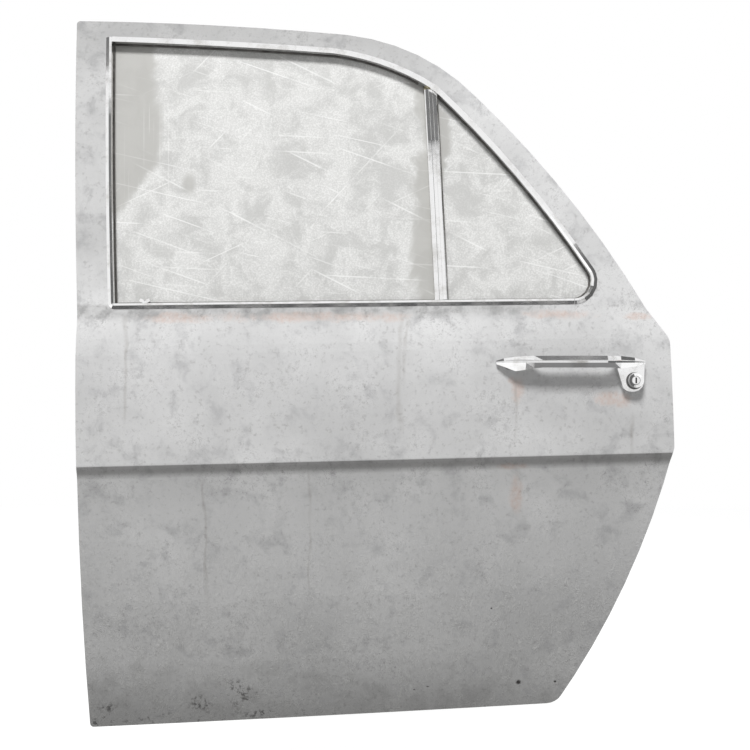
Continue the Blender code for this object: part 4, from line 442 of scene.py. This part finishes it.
def worn_chrome(name, marks=None):
    """Chrome plate with dulled patches and fine pits; marks gives the mask of dirt and painted shadow in its
    gaps.
    """
    made, g = material(name)
    place = g.place()
    smear = g.noise(place, 28.0, 5.0, 0.6)
    pits = g.noise(place, 900.0, 2.0, 0.5)
    colour = g.mix(g.ramp(smear, 0.45, 0.70), linear(240, 240, 240), linear(216, 215, 213))
    colour = g.mix(g.ramp(pits, 0.68, 0.76, 0.0, 0.4), colour, linear(120, 108, 96))
    rough = g.ramp(smear, 0.35, 0.72, 0.07, 0.20)
    metal = 1.0
    if marks:
        # Gap dirt with painted shadow, darker to the lower front
        dirt_and_shade = marks(g, place)
        colour = g.mix(dirt_and_shade, colour, GAP_DIRT_AND_SHADE)
        rough = g.maths("MAXIMUM", rough, g.maths("MULTIPLY", dirt_and_shade, 0.7))
        metal = g.maths("SUBTRACT", 1.0, dirt_and_shade, clamp=True)
    g.finish(g.add("BsdfPrincipled", {"Base Color": colour, "Metallic": metal, "Roughness": rough,
                                      "Normal": g.bump(smear, 0.04, 0.0008)}))
    return made


def lock_centre():
    low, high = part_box("key_barrel")
    return (low[0] + high[0]) / 2, (low[2] + high[2]) / 2


def off_lock(g, place):
    """Distances from the lock's axis along X and Z."""
    parts = g.add("SeparateXYZ", {"Vector": place})
    x, z = lock_centre()
    return g.maths("SUBTRACT", parts.outputs["X"], x), g.maths("SUBTRACT", parts.outputs["Z"], z)


def ring_marks(inner, outer, amount):
    """Dirt in the ring between two radii round the lock's axis, with painted shadow that makes it thicker
    below and ahead of it.
    """
    def marks(g, place):
        x, z = off_lock(g, place)
        reach = g.maths("SQRT", g.maths("ADD", g.maths("MULTIPLY", x, x), g.maths("MULTIPLY", z, z)))
        lean = g.maths("ADD", g.maths("MULTIPLY", x, -0.05), g.maths("MULTIPLY", z, -0.05))
        inside = g.ramp(g.maths("ADD", reach, lean), inner - 0.0004, inner + 0.0002)
        outside = g.ramp(g.maths("SUBTRACT", reach, lean), outer + 0.0004, outer - 0.0002)
        return g.maths("MULTIPLY", g.maths("MULTIPLY", inside, outside), amount)
    return marks


def slot_marks(g, place):
    """Painted shadow inside the key slot, and the fine gap round the barrel with its dirt and painted shadow.
    """
    x, z = off_lock(g, place)
    narrow = g.ramp(g.maths("ABSOLUTE", x), 0.00125, 0.00100)
    slot = g.maths("MULTIPLY", narrow, g.ramp(g.maths("ABSOLUTE", z), 0.0044, 0.0041))
    return g.maths("MAXIMUM", slot, ring_marks(0.0059, 0.0066, 0.45)(g, place))


def plain_metal(name, light, dark, rough):
    """Plated or bare steel with tarnish and fine wear."""
    made, g = material(name)
    place = g.place()
    tarnish = g.noise(place, 45.0, 6.0, 0.65, 0.4)
    fine = g.noise(place, 420.0, 3.0)
    colour = g.mix(g.ramp(tarnish, 0.42, 0.66), light, dark)
    g.finish(g.add("BsdfPrincipled", {"Base Color": colour, "Metallic": 0.85,
                                      "Roughness": g.ramp(fine, 0.3, 0.7, rough - 0.08, rough + 0.10),
                                      "Normal": g.bump(fine, 0.10, 0.0003)}))
    return made


def dull_coat(name, light, dark, rough, scale):
    """Paint, rubber or plastic with dust in its lows."""
    made, g = material(name)
    place = g.place()
    dust = g.noise(place, scale, 6.0, 0.62, 0.3)
    fine = g.noise(place, scale * 12, 3.0)
    colour = g.mix(g.ramp(dust, 0.40, 0.68), dark, light)
    g.finish(g.add("BsdfPrincipled", {"Base Color": colour,
                                      "Roughness": g.ramp(dust, 0.3, 0.7, rough - 0.06, rough + 0.08),
                                      "Normal": g.bump(fine, 0.12, 0.0004)}))
    return made


def dress_nodes():
    """Gives every CAD node its finished material."""
    dress(dirty_paint(), "outer_skin")
    dress(dull_coat("inner_paint", linear(186, 184, 180), linear(172, 169, 164), 0.58, 34.0), "inner_panel")
    dress(dull_coat("dark_primer", linear(96, 88, 80), linear(60, 55, 50), 0.7, 30.0), "outer_waist_rail")
    dress(dusty_glass(), "drop_glass", "quarter_glass")
    dress(worn_chrome("worn_chrome"), "roofline_moulding", "waist_moulding", "moulding_clip",
          "division_bar_capping", "release_handle", "winder_handle")
    dress(worn_chrome("handle_chrome", ring_marks(0.0118, 0.0124, 0.75)), "pull_handle")
    dress(worn_chrome("button_chrome", ring_marks(0.0111, 0.0120, 0.75)), "push_button")
    dress(worn_chrome("barrel_chrome", slot_marks), "key_barrel")
    dress(dull_coat("old_rubber", linear(132, 130, 127), linear(98, 96, 93), 0.72, 60.0), "front_glass_run",
          "rear_glass_run", "quarter_glass_seal", "outer_waist_seal", "inner_waist_seal", "handle_front_pad",
          "handle_rear_pad")
    dress(plain_metal("zinc_plate", linear(190, 184, 160), linear(150, 140, 112), 0.40), "latch_case",
          "latch_cover", "latch_claw", "latch_pawl", "claw_pivot", "pawl_pivot", "release_bearing",
          "release_shaft", "release_rod", "lock_rod", "regulator_rail", "drum_housing", "cable_drum",
          "upper_pulley_bracket", "lower_pulley_bracket", "division_bar")
    dress(plain_metal("bare_steel", linear(150, 146, 140), linear(108, 98, 88), 0.45), "lower_hinge_plate",
          "upper_hinge_plate", "lift_channel", "slider_bracket", "regulator_cable", "handle_front_screw",
          "handle_rear_screw", "latch_screw_1", "latch_screw_2", "latch_screw_3")
    dress(dull_coat("aged_nylon", linear(222, 216, 200), linear(196, 188, 168), 0.5, 40.0), "glass_slider",
          "rod_guide", "upper_pulley", "lower_pulley")
    dress(dull_coat("black_plastic", linear(58, 57, 56), linear(24, 24, 24), 0.42, 50.0), "lock_knob",
          "knob_ferrule", "winder_knob")


# Section of the window mouldings, as (outward, inward) pairs from the sight line, and its middle
MOULDING_SECTION = [(0, 0.0110), (0, -0.00112), (0.0034, -0.0028), (0.0085, -0.00084), (0.0085, -0.0003),
                    (0.0077, -0.0003), (0.0034, -0.0020), (0.0008, -0.00032), (0.0008, 0.0110)]
SECTION_MIDDLE = 0.0042
INWARD = Vector((0, 1, 0))

# Depths below its top where the front moulding's last two stations lie, and the x that it stays under
END_BAND = 0.0006
NEXT_BAND = (0.020, 0.036)
FRONT_EDGE = 0.03

# Rings of the moulding's corner, as the run from its start and how full the section is there
CORNER_RUNS = [(0.0002, 1.0), (0.0164, 1.0), (0.0170, 0.72)]


def moulding_end(mesh):
    """Sight line's end at the top of the front moulding, the way out across it, and the way along it."""
    points = {tuple(round(part, 5) for part in vertex.co) for vertex in mesh.vertices}
    top = max(point[2] for point in points)
    ends = [Vector(point) for point in points if top - point[2] < END_BAND]
    below = [Vector(point) for point in points
             if NEXT_BAND[0] < top - point[2] < NEXT_BAND[1] and point[0] < FRONT_EDGE]
    crest, lower = (min(station, key=lambda point: point.y) for station in (ends, below))
    sight = min((point for point in ends if point.x > crest.x + 0.003), key=lambda point: point.y)
    outer = min(ends, key=lambda point: (round(point.x, 4), point.y))
    out = Vector((outer.x - sight.x, 0, outer.z - sight.z)).normalized()
    return sight, out, (crest - lower).normalized()


def corner_ring(shape, seat, out, close):
    """The moulding's section at a place, drawn in and flattened as close falls below 1."""
    ring = []
    for wide, deep in MOULDING_SECTION:
        across = SECTION_MIDDLE + (wide - SECTION_MIDDLE) * (0.85 + 0.15 * close)
        depth = deep * close if deep < 0 else deep
        ring.append(shape.verts.new(seat + out * across + INWARD * depth))
    return ring


def make_moulding_corner():
    """Upper end of the front moulding, which runs on past the end of the roofline moulding."""
    node = NODES["waist_moulding"]
    sight, out, way = moulding_end(node.data)
    seat = sight - INWARD * MOULDING_SECTION[1][1]
    shape = bmesh.new()
    rings = [corner_ring(shape, seat + way * run, out, close) for run, close in CORNER_RUNS]
    for low, high in zip(rings, rings[1:]):
        for index in range(len(low)):
            after = (index + 1) % len(low)
            shape.faces.new((low[index], low[after], high[after], high[index]))
    shape.faces.new(rings[0][::-1])
    shape.faces.new(rings[-1])
    bmesh.ops.recalc_face_normals(shape, faces=shape.faces)
    mesh = bpy.data.meshes.new("moulding_corner")
    shape.to_mesh(mesh)
    shape.free()
    mesh.materials.append(node.material_slots[0].material)
    item = bpy.data.objects.new("moulding_corner", mesh)
    bpy.context.scene.collection.objects.link(item)
    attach(item, "door")


def make_camera():
    data = bpy.data.cameras.new("camera")
    data.lens = CAMERA_LENS
    data.sensor_width = SENSOR
    camera = bpy.data.objects.new("camera", data)
    camera.location = CAMERA_PLACE
    camera.rotation_euler = (pi / 2, 0, 0)
    bpy.context.scene.collection.objects.link(camera)
    bpy.context.scene.camera = camera


def area_light(name, place, target, size, power):
    data = bpy.data.lights.new(name, "AREA")
    data.shape = "RECTANGLE"
    data.size, data.size_y = size
    data.energy = power
    lamp = bpy.data.objects.new(name, data)
    lamp.location = place
    lamp.visible_glossy = False
    lamp.rotation_euler = (Vector(target) - Vector(place)).to_track_quat("-Z", "Y").to_euler()
    bpy.context.scene.collection.objects.link(lamp)


def seen_ray(g):
    """One for rays that show the background: from the camera, in reflections or through glass."""
    rays = g.add("LightPath").outputs
    found = g.maths("MAXIMUM", rays["Is Camera Ray"], rays["Is Transmission Ray"])
    return g.maths("MAXIMUM", found, rays["Is Glossy Ray"])


def make_world():
    world = bpy.data.worlds.new("studio")
    bpy.context.scene.world = world
    world.use_nodes = True
    g = Graph(world.node_tree)
    strength = g.maths("ADD", g.maths("MULTIPLY", seen_ray(g), 1.0 - AMBIENT), AMBIENT)
    sky = g.add("Background", {"Color": WHITE, "Strength": strength})
    output = world.node_tree.nodes.new("ShaderNodeOutputWorld")
    world.node_tree.links.new(sky.outputs[0], output.inputs[0])


def sheet(name, corners, made):
    """Flat sheet of the studio, which isn't part of the object."""
    shape = bmesh.new()
    shape.faces.new([shape.verts.new(corner) for corner in corners])
    mesh = bpy.data.meshes.new(name)
    shape.to_mesh(mesh)
    shape.free()
    mesh.materials.append(made)
    item = bpy.data.objects.new(name, mesh)
    bpy.context.scene.collection.objects.link(item)
    return item


def dark_card(name, corners, strength):
    """Grey card that only reflections show, glowing to paint a dark reflection into the chrome."""
    made, g = material(name)
    g.finish(g.add("Emission", {"Color": WHITE, "Strength": strength}))
    card = sheet(name, corners, made)
    card.visible_camera = False
    card.visible_diffuse = False
    card.visible_shadow = False
    card.visible_transmission = False


def make_floor():
    """Floor that glows where it is seen, keeps the door's shadow, and lights the door as plain grey."""
    made, g = material("studio_floor")
    white = g.add("Emission", {"Color": WHITE, "Strength": FLOOR_GLOW})
    pale = g.add("BsdfDiffuse", {"Color": FLOOR_GREY})
    faint = g.add("BsdfDiffuse", {"Color": FLOOR_FAINT})
    bright = g.add("AddShader")
    g.put(bright.inputs[0], white.outputs[0])
    g.put(bright.inputs[1], faint.outputs[0])
    shown = g.add("MixShader")
    g.put(shown.inputs[0], seen_ray(g))
    g.put(shown.inputs[1], pale.outputs[0])
    g.put(shown.inputs[2], bright.outputs[0])
    g.finish(shown)
    reach = FLOOR_REACH
    sheet("floor", [(x, y, FLOOR_HEIGHT) for x, y in
                    ((-reach, -reach), (reach, -reach), (reach, reach), (-reach, reach))], made)


# Glowing grey cards in front of the door that paint dark reflections into the chrome, as corners and
# brightness: on the floor, overhead and at both ends
DARK_CARDS = [
    ("low_card", [(-1.2, -2.5, -0.46), (1.4, -2.5, -0.46), (1.4, -1.45, -0.46), (-1.2, -1.45, -0.46)], 0.12),
    ("near_card", [(0.45, -0.95, -0.46), (1.4, -0.95, -0.46), (1.4, -0.3, -0.46), (0.45, -0.3, -0.46)], 0.25),
    ("high_card", [(-0.9, -1.3, 1.45), (1.6, -1.3, 1.45), (1.6, -1.3, 1.98), (-0.9, -1.3, 1.98)], 0.20),
    ("rear_card", [(1.6, -2.4, -0.3), (1.6, -0.05, -0.3), (1.6, -0.05, 1.35), (1.6, -2.4, 1.35)], 0.15),
    ("rear_far_card", [(1.6, -2.5, 1.35), (1.6, -1.75, 1.35), (1.6, -1.75, 2.0), (1.6, -2.5, 2.0)], 0.15),
    ("front_card", [(-1.0, -0.9, 1.55), (-1.0, 0.0, 1.55), (-1.0, 0.0, 2.3), (-1.0, -0.9, 2.3)], 0.20),
]


def make_studio():
    make_world()
    make_floor()
    for name, corners, strength in DARK_CARDS:
        dark_card(name, corners, strength)
    for lamp in LAMPS:
        area_light(*lamp)
    bpy.context.scene.view_settings.view_transform = "Standard"


make_camera()
make_studio()
dress_nodes()
make_moulding_corner()
